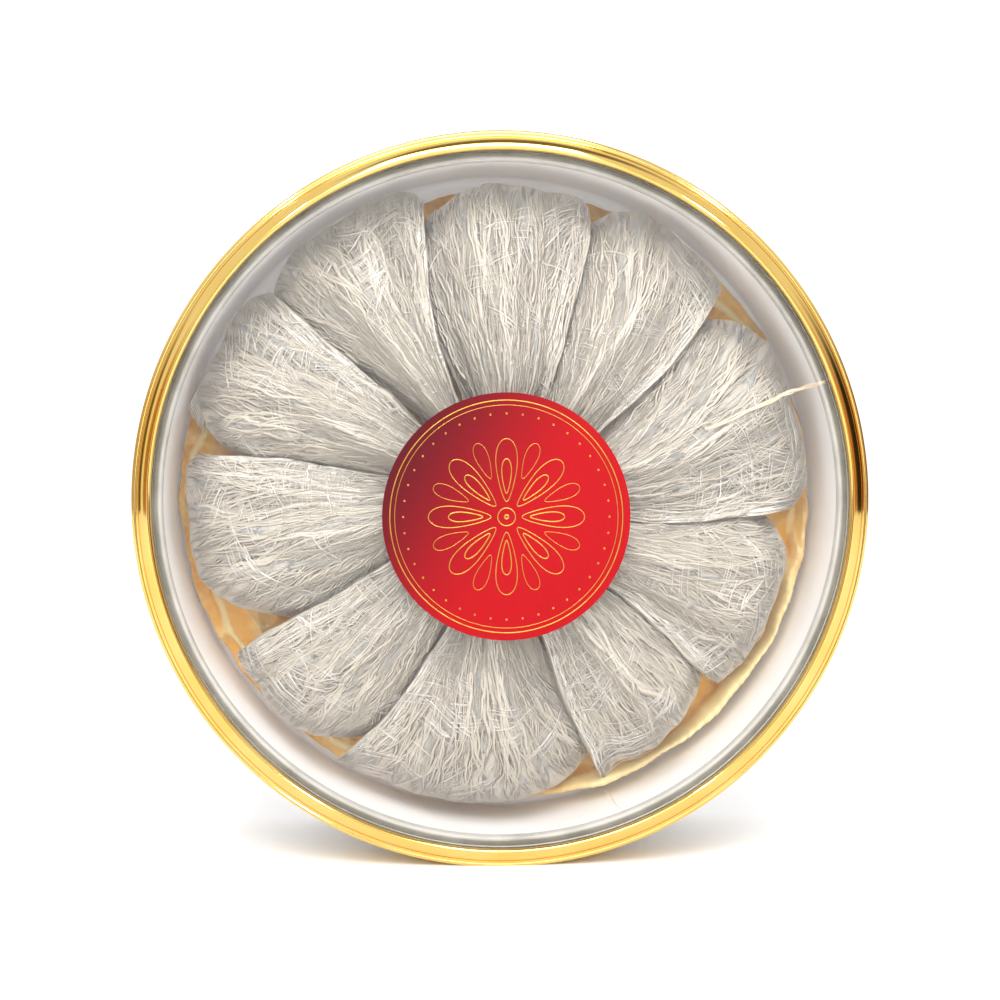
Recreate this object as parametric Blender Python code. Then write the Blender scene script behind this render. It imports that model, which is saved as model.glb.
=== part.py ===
"""Round gift box of edible birds' nests: ten dried nests shingled in a ring under a clear window.

The box stands on its edge, as it is shown for sale: its axis lies along Y, the window faces -Y and
Z is up. The origin is on the ground under the middle of the box. Depths run from the front of the
gold rim towards the back, radii run from the box's axis, and angles run clockwise from the top as
seen through the window. Lengths below are millimetres, and MM turns them into Blender's metres.
"""

import math

import bmesh
import bpy

MM = 0.001

# The box as a whole
BOX_RADIUS = 100.0
BOX_DEPTH = 60.0
TURN_STEPS = 60
FLAT_HALF_ANGLE = 2 * math.pi / TURN_STEPS
AXIS_HEIGHT = BOX_RADIUS * math.cos(FLAT_HALF_ANGLE)
GAP = 0.3

# The gold rim that frames the lid
RIM_INNER_RADIUS = 95.0
RIM_FLANGE_BACK = 3.0
RIM_SKIRT_WALL = 1.4
RIM_SKIRT_END = 16.0

# The window and the clear seal ring behind it
WINDOW_RADIUS = 98.2
WINDOW_FRONT = RIM_FLANGE_BACK + GAP
WINDOW_BACK = WINDOW_FRONT + 1.8
SEAL_INNER_RADIUS = 92.4
SEAL_DEPTH = 4.0

# The tray
WALL_OUTER_RADIUS = 98.0
WALL_INNER_RADIUS = 94.8
TRAY_FRONT = WINDOW_BACK + GAP
FLOOR_THICKNESS = 2.4
FLOOR_FRONT = BOX_DEPTH - FLOOR_THICKNESS
FOOT_FRONT = 53.0
FOOT_BEVEL = 1.0
CORNER_FILLET = 2.0

# The round label stuck on the window, a little below the middle
LABEL_RADIUS = 33.7
LABEL_THICKNESS = 0.5
LABEL_RIGHT = 1.0
LABEL_DOWN = 3.8
LABEL_STEPS = 48

# The satin pad that lines the tray: flat at the wall, crowned under the nests
PAD_TOP = 48.0
PAD_RADIUS = 94.4
PAD_ROLL_RADIUS = 91.6
PAD_ROLL_HEIGHT = 3.0
PAD_UNDER_MOUND = 4.0
PAD_CROWN_STEPS = 4

# The nests: their shared mound, their arch and their edges, as heights above the pad
NEST_INNER_RADIUS = 13.0
EDGE_FAR_RADIUS = 92.0
EDGE_NEAR_RADIUS = 33.0
OVERLAP_DEGREES = 6.0
MOUND_HEIGHT = 17.0
MOUND_RADIUS = 42.0
MOUND_REACH = 50.0
MOUND_EDGE_HEIGHT = 3.0
TOP_LIFT = 8.0
TOP_LIFT_START = 55.0
UNDER_EDGE_HEIGHT = 4.0
OVER_EDGE_HEIGHT = 12.0
ARCH_HEIGHT = 11.0
ARCH_RADIUS = 50.0
ARCH_REACH = 44.0
CORNER_CUT = 18.0
CORNER_SHARE = 0.45
END_CURL = 5.0
CURL_START = 0.88
EDGE_THICKNESS = 2.2
MIDDLE_THICKNESS = 4.4
RIDGE_HEIGHT = 1.3
RIDGE_COUNT = 3.0
STEPS_ALONG = 9
STEPS_ACROSS = 12

# Each nest's upper edge, as its angle in degrees at the window label and at the wall, and its reach
NESTS = (
    ("nest_01", 24.0, 17.0, 89.4),
    ("nest_02", 56.0, 46.5, 91.3),
    ("nest_03", 100.0, 91.0, 90.0),
    ("nest_04", 128.0, 131.3, 86.4),
    ("nest_05", 163.4, 159.8, 91.8),
    ("nest_06", 201.3, 210.0, 92.2),
    ("nest_07", 240.3, 238.5, 90.2),
    ("nest_08", 282.0, 278.3, 90.5),
    ("nest_09", 313.0, 312.0, 92.0),
    ("nest_10", 336.0, 346.6, 92.2),
)


def clear_scene():
    """Removes what the startup scene holds."""
    for obj in list(bpy.data.objects):
        bpy.data.objects.remove(obj)


def make_material(name, colour, roughness, metallic=0.0, alpha=1.0):
    """A Principled material with one colour."""
    material = bpy.data.materials.new(name)
    material.use_nodes = True
    shader = material.node_tree.nodes["Principled BSDF"]
    shader.inputs["Base Color"].default_value = (*colour, 1.0)
    shader.inputs["Roughness"].default_value = roughness
    shader.inputs["Metallic"].default_value = metallic
    shader.inputs["Alpha"].default_value = alpha
    return material


def place(radius, angle, depth):
    """A point of the box in metres, from its radius, its clockwise angle and its depth."""
    return (
        radius * math.sin(angle) * MM,
        (depth - BOX_DEPTH / 2) * MM,
        (AXIS_HEIGHT + radius * math.cos(angle)) * MM,
    )


def add_object(name, mesh_builder, material):
    """Turns a bmesh into a named object with smooth faces and sharp creases."""
    bmesh.ops.recalc_face_normals(mesh_builder, faces=mesh_builder.faces)
    mesh = bpy.data.meshes.new(name)
    mesh_builder.to_mesh(mesh)
    mesh_builder.free()
    mesh.shade_smooth()
    mesh.set_sharp_from_angle(angle=math.radians(35))
    mesh.materials.append(material)
    obj = bpy.data.objects.new(name, mesh)
    bpy.context.scene.collection.objects.link(obj)
    return obj


def turned(name, profile, material, closed=True, steps=TURN_STEPS, flat=False):
    """Spins a profile of (radius, depth) points about the box's axis.

    A closed profile makes a ring. An open one starts and ends on the axis and makes a disc or a
    cup. With flat set, the piece gets the small flat spot at the bottom that the box stands on.
    """
    builder = bmesh.new()
    points = [builder.verts.new(place(radius, 0.0, depth)) for radius, depth in profile]
    pairs = list(zip(points, points[1:]))
    if closed:
        pairs.append((points[-1], points[0]))
    edges = [builder.edges.new(pair) for pair in pairs]
    bmesh.ops.spin(
        builder,
        geom=points + edges,
        cent=place(0.0, 0.0, 0.0),
        axis=(0.0, 1.0, 0.0),
        angle=2 * math.pi,
        steps=steps,
        use_merge=True,
    )
    bmesh.ops.remove_doubles(builder, verts=builder.verts, dist=0.02 * MM)
    if flat:
        for vert in builder.verts:
            vert.co.z = max(vert.co.z, 0.0)
    return add_object(name, builder, material)


def arc(centre, radius, start, end, steps):
    """Points (radius, depth) on an arc of a profile, its angles in degrees."""
    found = []
    for index in range(steps + 1):
        angle = math.radians(start + (end - start) * index / steps)
        found.append((centre[0] + radius * math.cos(angle), centre[1] + radius * math.sin(angle)))
    return found


def build_rim(material):
    """The gold frame: a rounded bead at the front, a shoulder behind it and a skirt over the tray."""
    bead_radius = 1.7
    bead = arc((RIM_INNER_RADIUS + 1.9, bead_radius), bead_radius, 180, 360, 6)
    shoulder = [(BOX_RADIUS - 0.6, bead_radius + 0.2), (BOX_RADIUS, bead_radius + 0.9)]
    skirt_inner = BOX_RADIUS - RIM_SKIRT_WALL
    profile = [(RIM_INNER_RADIUS, RIM_FLANGE_BACK)]
    profile += bead
    profile += shoulder
    profile += [(BOX_RADIUS, RIM_SKIRT_END), (skirt_inner, RIM_SKIRT_END)]
    profile += [(skirt_inner, RIM_FLANGE_BACK)]
    return turned("lid_rim", profile, material, flat=True)


def build_window(material):
    """The clear pane, held behind the rim's flange."""
    profile = [
        (0.0, WINDOW_FRONT),
        (WINDOW_RADIUS, WINDOW_FRONT),
        (WINDOW_RADIUS, WINDOW_BACK),
        (0.0, WINDOW_BACK),
    ]
    return turned("lid_window", profile, material, closed=False)


def build_seal(material):
    """The soft clear ring between the window and the tray's mouth."""
    outer = WALL_INNER_RADIUS - GAP
    front = WINDOW_BACK + GAP
    profile = [
        (SEAL_INNER_RADIUS, front),
        (outer, front),
        (outer, front + SEAL_DEPTH),
        (SEAL_INNER_RADIUS + 0.8, front + SEAL_DEPTH),
        (SEAL_INNER_RADIUS, front + SEAL_DEPTH - 0.8),
    ]
    return turned("seal_ring", profile, material)


def build_tray(material):
    """The white tray: a flat back, a wall that the lid's skirt covers, and a foot as wide as the rim."""
    inside = arc(
        (WALL_INNER_RADIUS - CORNER_FILLET, FLOOR_FRONT - CORNER_FILLET),
        CORNER_FILLET,
        0,
        90,
        2,
    )
    profile = [
        (0.0, BOX_DEPTH),
        (BOX_RADIUS - FOOT_BEVEL, BOX_DEPTH),
        (BOX_RADIUS, BOX_DEPTH - FOOT_BEVEL),
        (BOX_RADIUS, FOOT_FRONT),
        (WALL_OUTER_RADIUS, FOOT_FRONT - (BOX_RADIUS - WALL_OUTER_RADIUS)),
        (WALL_OUTER_RADIUS, TRAY_FRONT),
        (WALL_INNER_RADIUS, TRAY_FRONT),
    ]
    profile += inside
    profile += [(0.0, FLOOR_FRONT)]
    return turned("tray", profile, material, closed=False, flat=True)


def build_label(material):
    """The round paper label on the window."""
    back = WINDOW_FRONT - GAP
    front = back - LABEL_THICKNESS
    profile = [(0.0, front), (LABEL_RADIUS, front), (LABEL_RADIUS, back), (0.0, back)]
    label = turned("label", profile, material, closed=False, steps=LABEL_STEPS)
    label.location = (LABEL_RIGHT * MM, 0.0, -LABEL_DOWN * MM)
    return label


def build_pad(material):
    """The satin-covered pad: crowned to carry the nests, with a rolled edge along the wall."""
    back = FLOOR_FRONT - GAP
    roll_half_width = PAD_RADIUS - PAD_ROLL_RADIUS
    profile = [(0.0, PAD_TOP - pad_height(MOUND_RADIUS))]
    crown_end = MOUND_RADIUS + MOUND_REACH - PAD_UNDER_MOUND
    for index in range(PAD_CROWN_STEPS + 1):
        radius = MOUND_RADIUS + (crown_end - MOUND_RADIUS) * index / PAD_CROWN_STEPS
        profile.append((radius, PAD_TOP - pad_height(radius)))
    profile += [
        (PAD_ROLL_RADIUS - 0.6 * roll_half_width, PAD_TOP - 0.8 * PAD_ROLL_HEIGHT),
        (PAD_ROLL_RADIUS, PAD_TOP - PAD_ROLL_HEIGHT),
        (PAD_ROLL_RADIUS + 0.7 * roll_half_width, PAD_TOP - 0.7 * PAD_ROLL_HEIGHT),
        (PAD_RADIUS, PAD_TOP),
        (PAD_RADIUS, back - CORNER_FILLET - GAP),
        (PAD_RADIUS - CORNER_FILLET, back),
        (0.0, back),
    ]
    return turned("satin_pad", profile, material, closed=False)


def smooth_step(start, end, value):
    """0 before start, 1 after end, and a smooth rise between them."""
    share = min(1.0, max(0.0, (value - start) / (end - start)))
    return share * share * (3.0 - 2.0 * share)


def edge_angle(nest, radius):
    """The angle of a nest's upper edge at a radius, in radians."""
    _, near, far, _ = NESTS[nest % len(NESTS)]
    share = (radius - EDGE_NEAR_RADIUS) / (EDGE_FAR_RADIUS - EDGE_NEAR_RADIUS)
    share = min(1.0, max(0.0, share))
    return math.radians(near + (far - near) * share)


def nest_span(nest, radius):
    """The angles of a nest's hidden lower edge and of its upper edge at a radius."""
    upper = edge_angle(nest, radius)
    before = edge_angle(nest - 1, radius)
    if nest == 0:
        before -= 2 * math.pi
    return before - math.radians(OVERLAP_DEGREES), upper


def mound(radius, angle):
    """Height of the mound that the nests form together, higher at the wall near the top."""
    hump = 1.0 - ((radius - MOUND_RADIUS) / MOUND_REACH) ** 2
    lift = TOP_LIFT * 0.5 * (1.0 + math.cos(angle))
    lift *= smooth_step(TOP_LIFT_START, EDGE_FAR_RADIUS, radius)
    return MOUND_EDGE_HEIGHT + (MOUND_HEIGHT - MOUND_EDGE_HEIGHT) * hump + lift


def pad_height(radius):
    """Height of the pad's crown above its edge, a little under the mound of the nests."""
    bottom = math.pi
    return max(0.0, mound(radius, bottom) - PAD_UNDER_MOUND)


def nest_height(nest, along, across, radius, angle):
    """Height of a nest's front above the pad: mound, tilt of a shingle, arch, ridges and end curl."""
    swell = max(0.0, 1.0 - ((radius - ARCH_RADIUS) / ARCH_REACH) ** 4)
    bump = math.sin(math.pi * across) ** 2
    tilt = UNDER_EDGE_HEIGHT + (OVER_EDGE_HEIGHT - UNDER_EDGE_HEIGHT) * across
    wander = 0.12 * math.sin(4.0 * along + nest)
    ridge = math.cos(2 * math.pi * RIDGE_COUNT * (across + wander) + 2.0 * nest)
    curl = END_CURL * smooth_step(CURL_START, 1.0, along)
    arch = (ARCH_HEIGHT + RIDGE_HEIGHT * ridge) * swell * bump
    return mound(radius, angle) + tilt + arch - curl


def nest_point(nest, along, across, inner):
    """A point on a nest's front, or on its hollow inner side, from shares along and across it."""
    reach = NESTS[nest][3]
    reach -= CORNER_CUT * max(0.0, 1.0 - across / CORNER_SHARE) ** 2
    radius = NEST_INNER_RADIUS + (reach - NEST_INNER_RADIUS) * along
    lower, upper = nest_span(nest, radius)
    angle = lower + (upper - lower) * across
    height = nest_height(nest, along, across, radius, angle)
    if inner:
        body = math.sin(math.pi * across) * math.sin(math.pi * along)
        height -= EDGE_THICKNESS + (MIDDLE_THICKNESS - EDGE_THICKNESS) * body
    return place(radius, angle, PAD_TOP - height)


def build_nest(nest, material):
    """One nest: an arched shell of dried strands, with ridges where the strands gather."""
    builder = bmesh.new()
    sides = []
    for inner in (False, True):
        rows = []
        for along in range(STEPS_ALONG + 1):
            row = []
            for across in range(STEPS_ACROSS + 1):
                spot = nest_point(nest, along / STEPS_ALONG, across / STEPS_ACROSS, inner)
                row.append(builder.verts.new(spot))
            rows.append(row)
        sides.append(rows)
    for rows in sides:
        for low, high in zip(rows, rows[1:]):
            for column in range(STEPS_ACROSS):
                builder.faces.new((low[column], low[column + 1], high[column + 1], high[column]))
    front, back = (border(rows) for rows in sides)
    for index in range(len(front)):
        following = (index + 1) % len(front)
        builder.faces.new((front[index], front[following], back[following], back[index]))
    return add_object(NESTS[nest][0], builder, material)


def border(rows):
    """The vertices round a grid's border, in order."""
    right = [row[-1] for row in rows[1:]]
    far = rows[-1][-2::-1]
    left = [row[0] for row in rows[-2:0:-1]]
    return rows[0] + right + far + left


def main():
    """Builds the box, its lining, its label and its ten nests."""
    clear_scene()
    gold = make_material("gold_plating", (0.86, 0.62, 0.20), 0.12, metallic=1.0)
    clear = make_material("clear_plastic", (0.93, 0.95, 0.95), 0.04, alpha=0.2)
    seal = make_material("clear_seal", (0.55, 0.57, 0.56), 0.25, alpha=0.6)
    white = make_material("white_plastic", (0.86, 0.84, 0.83), 0.3)
    red = make_material("red_paper", (0.70, 0.02, 0.03), 0.35)
    satin = make_material("gold_satin", (0.78, 0.48, 0.14), 0.35)
    strand = make_material("dried_strands", (0.79, 0.75, 0.68), 0.35)
    build_rim(gold)
    build_window(clear)
    build_seal(seal)
    build_tray(white)
    build_label(red)
    build_pad(satin)
    for nest in range(len(NESTS)):
        build_nest(nest, strand)


main()
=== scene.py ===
"""The looks of a round gift box of edible birds' nests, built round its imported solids.

The box stands on its edge with its window towards -Y. Depths run from the front of the gold rim
towards the back, radii run from the box's axis, and angles run clockwise from the top as seen
through the window. Sizes are millimetres, and MM turns them into metres.
"""

import logging
import math
from dataclasses import dataclass
from enum import Enum
from functools import cached_property

import bpy
import numpy as np
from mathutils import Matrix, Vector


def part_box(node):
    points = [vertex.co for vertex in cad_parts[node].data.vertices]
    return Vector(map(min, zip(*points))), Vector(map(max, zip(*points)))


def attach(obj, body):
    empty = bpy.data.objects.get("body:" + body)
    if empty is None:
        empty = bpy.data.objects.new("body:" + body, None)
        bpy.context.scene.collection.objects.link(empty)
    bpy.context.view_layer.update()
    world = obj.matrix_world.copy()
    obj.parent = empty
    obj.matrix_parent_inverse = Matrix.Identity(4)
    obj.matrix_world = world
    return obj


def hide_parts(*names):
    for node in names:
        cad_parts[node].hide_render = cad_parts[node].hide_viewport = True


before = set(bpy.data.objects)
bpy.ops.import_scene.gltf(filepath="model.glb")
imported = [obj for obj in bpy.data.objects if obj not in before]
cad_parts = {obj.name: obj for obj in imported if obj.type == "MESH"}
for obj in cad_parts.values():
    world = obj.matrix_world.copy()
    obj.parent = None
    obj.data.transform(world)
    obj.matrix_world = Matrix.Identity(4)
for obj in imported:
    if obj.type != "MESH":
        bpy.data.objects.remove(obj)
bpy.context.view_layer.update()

BODY = "root"
MM = 0.001
FULL_TURN = 2 * math.pi
TOWARDS_VIEWER = np.array([0.0, -1.0, 0.0])
SECTION = 3  # Points round a strand.
SHEAF = 7  # Hairs in a sheaf.
TINY = 1e-12

logging.basicConfig(level=logging.INFO, format="%(message)s")
LOG = logging.getLogger("gift_box")


def linear(code: str) -> tuple[float, float, float, float]:
    """Turns an sRGB hex code into a linear colour with an alpha of one.

    Args:
        code: The colour as "#RRGGBB".

    Returns:
        Red, green, blue and alpha, from 0 to 1.
    """
    share = np.array([int(code[start:start + 2], 16) for start in (1, 3, 5)]) / 255
    low = share / 12.92
    high = ((share + 0.055) / 1.055) ** 2.4
    red, green, blue = np.where(share <= 0.04045, low, high)
    return float(red), float(green), float(blue), 1.0


def add_node(
    tree: bpy.types.NodeTree, kind: str, settings: dict | None = None, links: dict | None = None
) -> bpy.types.Node:
    """Adds one shader node.

    Args:
        tree: The node tree that gets the node.
        kind: The node's type name without its ShaderNode prefix.
        settings: Values by input name, or by property name where no input has it.
        links: Output sockets by input name.

    Returns:
        The new node.
    """
    node = tree.nodes.new("ShaderNode" + kind)
    for name, value in (settings or {}).items():
        if isinstance(name, int) or name in node.inputs:
            node.inputs[name].default_value = value
        else:
            setattr(node, name, value)
    for name, socket in (links or {}).items():
        tree.links.new(socket, node.inputs[name])
    return node


def smooth_step(start: float, end: float, value: np.ndarray) -> np.ndarray:
    """0 before start, 1 after end, and 3t squared minus 2t cubed between them."""
    share = np.clip((value - start) / (end - start), 0.0, 1.0)
    return share * share * (3.0 - 2.0 * share)


def ripples(rows: tuple, travel: np.ndarray) -> np.ndarray:
    """The sum of size times sin(waves * travel + phase), over rows of a size, waves and a phase."""
    return sum(size * np.sin(waves * travel + phase) for size, waves, phase in rows)


@dataclass(frozen=True)
class BoxFrame:
    """The box's polar frame, read from the rim's solid.

    Attributes:
        axis_height: Height of the box's axis over the ground, in millimetres.
        front: The y of the rim's front, in millimetres.
        radius: The rim's outer radius, in millimetres.
    """

    axis_height: float
    front: float
    radius: float

    @classmethod
    def from_solid(cls, node: str) -> "BoxFrame":
        """Reads the frame from a round solid that reaches the top and both sides of the box."""
        low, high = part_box(node)
        radius = (high.x - low.x) / 2 / MM
        return cls(high.z / MM - radius, low.y / MM, radius)

    def place(self, radius: np.ndarray, angle: np.ndarray, depth: np.ndarray) -> np.ndarray:
        """Turns polar places into points.

        x is radius times sin(angle), y is the front plus the depth, and z is the axis's height
        plus radius times cos(angle).

        Args:
            radius: Distances from the axis, in millimetres.
            angle: Clockwise angles from the top, in radians.
            depth: Distances behind the rim's front, in millimetres.

        Returns:
            Points in metres, with one more dimension than the arguments.
        """
        radius, angle, depth = np.broadcast_arrays(radius, angle, depth)
        across = radius * np.sin(angle)
        upward = self.axis_height + radius * np.cos(angle)
        return np.stack([across, self.front + depth, upward], axis=-1) * MM


BOX = BoxFrame.from_solid("lid_rim")


@dataclass
class Surface:
    """Points and faces on their way to a mesh, with numbers that the materials read.

    Attributes:
        points: Places in metres, one row each.
        quads: Four point numbers for each face.
        triangles: Three point numbers for each face at a pole.
        tone: One number for each point, from 0 for dull to 1 for bright, or nothing.
        flow: Two millimetre measures for each point, along and across the strands, or nothing.
    """

    points: np.ndarray
    quads: np.ndarray
    triangles: np.ndarray | None = None
    tone: np.ndarray | None = None
    flow: np.ndarray | None = None

    def volume(self) -> float:
        """Signed volume: the sum over triangles of a . (b x c) / 6, which is negative inside out."""
        corners = [self.quads[:, [0, 1, 2]], self.quads[:, [0, 2, 3]]]
        if self.triangles is not None:
            corners.append(self.triangles)
        a, b, c = (self.points[np.concatenate(corners)[:, index]] for index in range(3))
        return float(np.einsum("ij,ij->i", a, np.cross(b, c)).sum() / 6)

    def plain(self) -> "Surface":
        """Gives every point a tone of one, and its place seen from the front as its flow."""
        self.tone = np.ones(len(self.points))
        self.flow = self.points[:, [0, 2]] / MM
        return self

    def faced_outwards(self) -> "Surface":
        """Turns the faces round where the signed volume is negative."""
        if self.volume() < 0:
            self.quads = self.quads[:, ::-1]
            if self.triangles is not None:
                self.triangles = self.triangles[:, ::-1]
        return self

    def piece(self, name: str, finishes: list, replaces: str, slot: str, parts: np.ndarray | None = None,
              sharp_degrees: float = 0.0) -> bpy.types.Object:
        """Makes the mesh object, and ties it to the box's body.

        Args:
            name: The piece's name.
            finishes: The materials in the order that the part numbers use.
            replaces: The solid that the piece stands for.
            slot: The record's material slot. It is not used.
            parts: The material number of each face, or nothing for the first material.
            sharp_degrees: Edges that turn more than this stay sharp. 0 keeps every edge smooth.

        Returns:
            The new object.
        """
        mesh = bpy.data.meshes.new(name)
        loops = [self.quads.ravel()]
        starts = [np.arange(len(self.quads)) * 4]
        if self.triangles is not None:
            loops.append(self.triangles.ravel())
            starts.append(self.quads.size + np.arange(len(self.triangles)) * 3)
        corners, firsts = np.concatenate(loops), np.concatenate(starts)
        mesh.vertices.add(len(self.points))
        mesh.vertices.foreach_set("co", self.points.astype(np.float32).ravel())
        mesh.loops.add(len(corners))
        mesh.loops.foreach_set("vertex_index", corners.astype(np.int32))
        mesh.polygons.add(len(firsts))
        mesh.polygons.foreach_set("loop_start", firsts.astype(np.int32))
        mesh.polygons.foreach_set("use_smooth", np.ones(len(firsts), dtype=bool))
        if parts is not None:
            mesh.polygons.foreach_set("material_index", parts.astype(np.int32))
        for finish in finishes:
            mesh.materials.append(finish)
        if self.tone is not None:
            mesh.attributes.new("tone", "FLOAT", "POINT").data.foreach_set("value", self.tone.astype(np.float32))
        if self.flow is not None:
            uv = mesh.uv_layers.new(name="flow")
            uv.uv.foreach_set("vector", self.flow[corners].astype(np.float32).ravel())
        mesh.update(calc_edges=True)
        mesh.validate()
        if sharp_degrees:
            mesh.set_sharp_from_angle(angle=math.radians(sharp_degrees))
        made = placed(name, mesh)
        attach(made, BODY)
        if replaces:
            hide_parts(replaces)
        LOG.info("%s: %d faces", name, len(firsts))
        return made


def placed(name: str, data: bpy.types.ID) -> bpy.types.Object:
    """Makes an object of a mesh, a lamp or a camera, and links it to the scene."""
    made = bpy.data.objects.new(name, data)
    bpy.context.scene.collection.objects.link(made)
    return made


def joined(*surfaces: Surface) -> tuple[Surface, np.ndarray]:
    """Puts surfaces together.

    Args:
        surfaces: Surfaces with tone and flow.

    Returns:
        The joined surface, and for each face the number of the surface that it came from.
    """
    shift = np.cumsum([0] + [len(each.points) for each in surfaces[:-1]])
    fans = [np.empty((0, 3), int) if each.triangles is None else each.triangles for each in surfaces]
    whole = Surface(
        np.concatenate([each.points for each in surfaces]),
        np.concatenate([each.quads + first for each, first in zip(surfaces, shift)]),
        np.concatenate([fan + first for fan, first in zip(fans, shift)]),
        np.concatenate([each.tone for each in surfaces]),
        np.concatenate([each.flow for each in surfaces]),
    )
    number = np.arange(len(surfaces))
    source = [np.repeat(number, [len(each.quads) for each in surfaces]), np.repeat(number, [len(fan) for fan in fans])]
    return whole, np.concatenate(source)


def grid_quads(rows: int, columns: int, wrap_rows: bool = False, wrap_columns: bool = False) -> np.ndarray:
    """Numbers the quads of a grid of points that are stored row by row.

    Args:
        rows: How many rows of points there are.
        columns: How many points each row has.
        wrap_rows: Whether the last row joins the first.
        wrap_columns: Whether each row's last point joins its first.

    Returns:
        One row of four point numbers for each quad.
    """
    row, column = np.meshgrid(
        np.arange(rows if wrap_rows else rows - 1),
        np.arange(columns if wrap_columns else columns - 1),
        indexing="ij",
    )
    next_row, next_column = (row + 1) % rows, (column + 1) % columns
    corners = [
        row * columns + column,
        row * columns + next_column,
        next_row * columns + next_column,
        next_row * columns + column,
    ]
    return np.stack(corners, axis=-1).reshape(-1, 4)


def arc(radius: float, depth: float, size: float, start: float, end: float, steps: int) -> np.ndarray:
    """Points on an arc of a profile: its centre plus size times (cos, sin) of even angles.

    Args:
        radius: The arc centre's distance from the axis.
        depth: The arc centre's depth.
        size: The arc's own radius.
        start: The first angle in degrees, 0 outwards and 90 towards the back.
        end: The last angle in degrees.
        steps: How many spans the arc has.

    Returns:
        One row of radius and depth for each point.
    """
    angle = np.radians(np.linspace(start, end, steps + 1))
    return np.stack([radius + size * np.cos(angle), depth + size * np.sin(angle)], axis=1)


def turned_ring(profile: np.ndarray, steps: int, on_ground: bool = False) -> Surface:
    """Carries a closed profile of (radius, depth) round the box's axis.

    Args:
        profile: The section's points in order, without repeating the first.
        steps: How many spans the full turn has.
        on_ground: Whether the ring keeps the flat spot that the box stands on.

    Returns:
        The ring, closed both ways.
    """
    angle = np.arange(steps)[:, None] * FULL_TURN / steps
    points = BOX.place(profile[None, :, 0], angle, profile[None, :, 1]).reshape(-1, 3)
    if on_ground:
        points[:, 2] = np.maximum(points[:, 2], 0.0)
    return Surface(points, grid_quads(steps, len(profile), wrap_rows=True, wrap_columns=True)).faced_outwards()


def pole_fans(first: np.ndarray, last: np.ndarray, pole: int) -> np.ndarray:
    """Numbers the triangles that close a turned piece at its two poles.

    Args:
        first: Point numbers of the ring next to the first pole.
        last: Point numbers of the ring next to the second pole.
        pole: The first pole's number. The second pole comes next.

    Returns:
        One row of three point numbers for each triangle.
    """
    hub = np.full(len(first), pole)
    return np.concatenate([
        np.stack([hub, np.roll(first, -1), first], axis=1),
        np.stack([hub + 1, last, np.roll(last, -1)], axis=1),
    ])


def turned_disc(profile: np.ndarray, steps: int, on_ground: bool = False, centre: tuple = (0.0, 0.0)) -> Surface:
    """Carries an open profile round an axis and closes it with a pole at each end.

    Args:
        profile: The section's points of (radius, depth). The first and the last lie on the axis.
        steps: How many spans the full turn has.
        on_ground: Whether the piece keeps the flat spot that the box stands on.
        centre: How far the axis lies to the right of the box's axis and above it.

    Returns:
        The closed piece.
    """
    angle = np.arange(steps)[:, None] * FULL_TURN / steps
    inner = profile[1:-1]
    points = BOX.place(inner[None, :, 0], angle, inner[None, :, 1]).reshape(-1, 3)
    poles = BOX.place(profile[[0, -1], 0], 0.0, profile[[0, -1], 1])
    points = np.concatenate([points, poles]) + np.array([centre[0], 0.0, centre[1]]) * MM
    if on_ground:
        points[:, 2] = np.maximum(points[:, 2], 0.0)
    first = np.arange(steps) * len(inner)
    fans = pole_fans(first, first + len(inner) - 1, steps * len(inner))
    return Surface(points, grid_quads(steps, len(inner), wrap_rows=True), fans).faced_outwards()


def tubes(lines: np.ndarray, half_width: np.ndarray, half_height: np.ndarray, looped: bool = False) -> Surface:
    """Carries a three-point section along many lines at once.

    Each section's points are the line's point plus half the height upwards, and plus or minus
    half the width to the side with half the height downwards. Side is the line's direction
    crossed with the way to the viewer, and up is side crossed with the direction.

    Args:
        lines: Points in metres, by line, by step and by coordinate.
        half_width: Half of each section's width in millimetres, by line and by step.
        half_height: Half of each section's height in millimetres, by line and by step.
        looped: Whether each line ends where it starts, instead of in two caps.

    Returns:
        The tubes as one surface, without tone or flow. The ends' caps are triangles.
    """
    count, steps = lines.shape[:2]
    if looped:
        direction = np.roll(lines, -1, axis=1) - np.roll(lines, 1, axis=1)
    else:
        direction = np.gradient(lines, axis=1)
    direction /= np.linalg.norm(direction, axis=2, keepdims=True) + TINY
    side = np.cross(direction, TOWARDS_VIEWER)
    side /= np.linalg.norm(side, axis=2, keepdims=True) + TINY
    up = np.cross(side, direction)
    side = side * half_width[..., None] * MM
    up = up * half_height[..., None] * MM
    points = np.stack([lines + side - up, lines + up, lines - side - up], axis=2).reshape(-1, 3)
    first = (np.arange(count) * steps * SECTION)[:, None, None]
    walls = (grid_quads(steps, SECTION, wrap_rows=looped, wrap_columns=True)[None] + first).reshape(-1, 4)
    if looped:
        return Surface(points, walls).faced_outwards()
    cap = np.arange(SECTION)[None] + first[:, 0]
    caps = np.concatenate([cap[:, ::-1], cap + (steps - 1) * SECTION])
    return Surface(points, walls, caps).faced_outwards()


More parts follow.
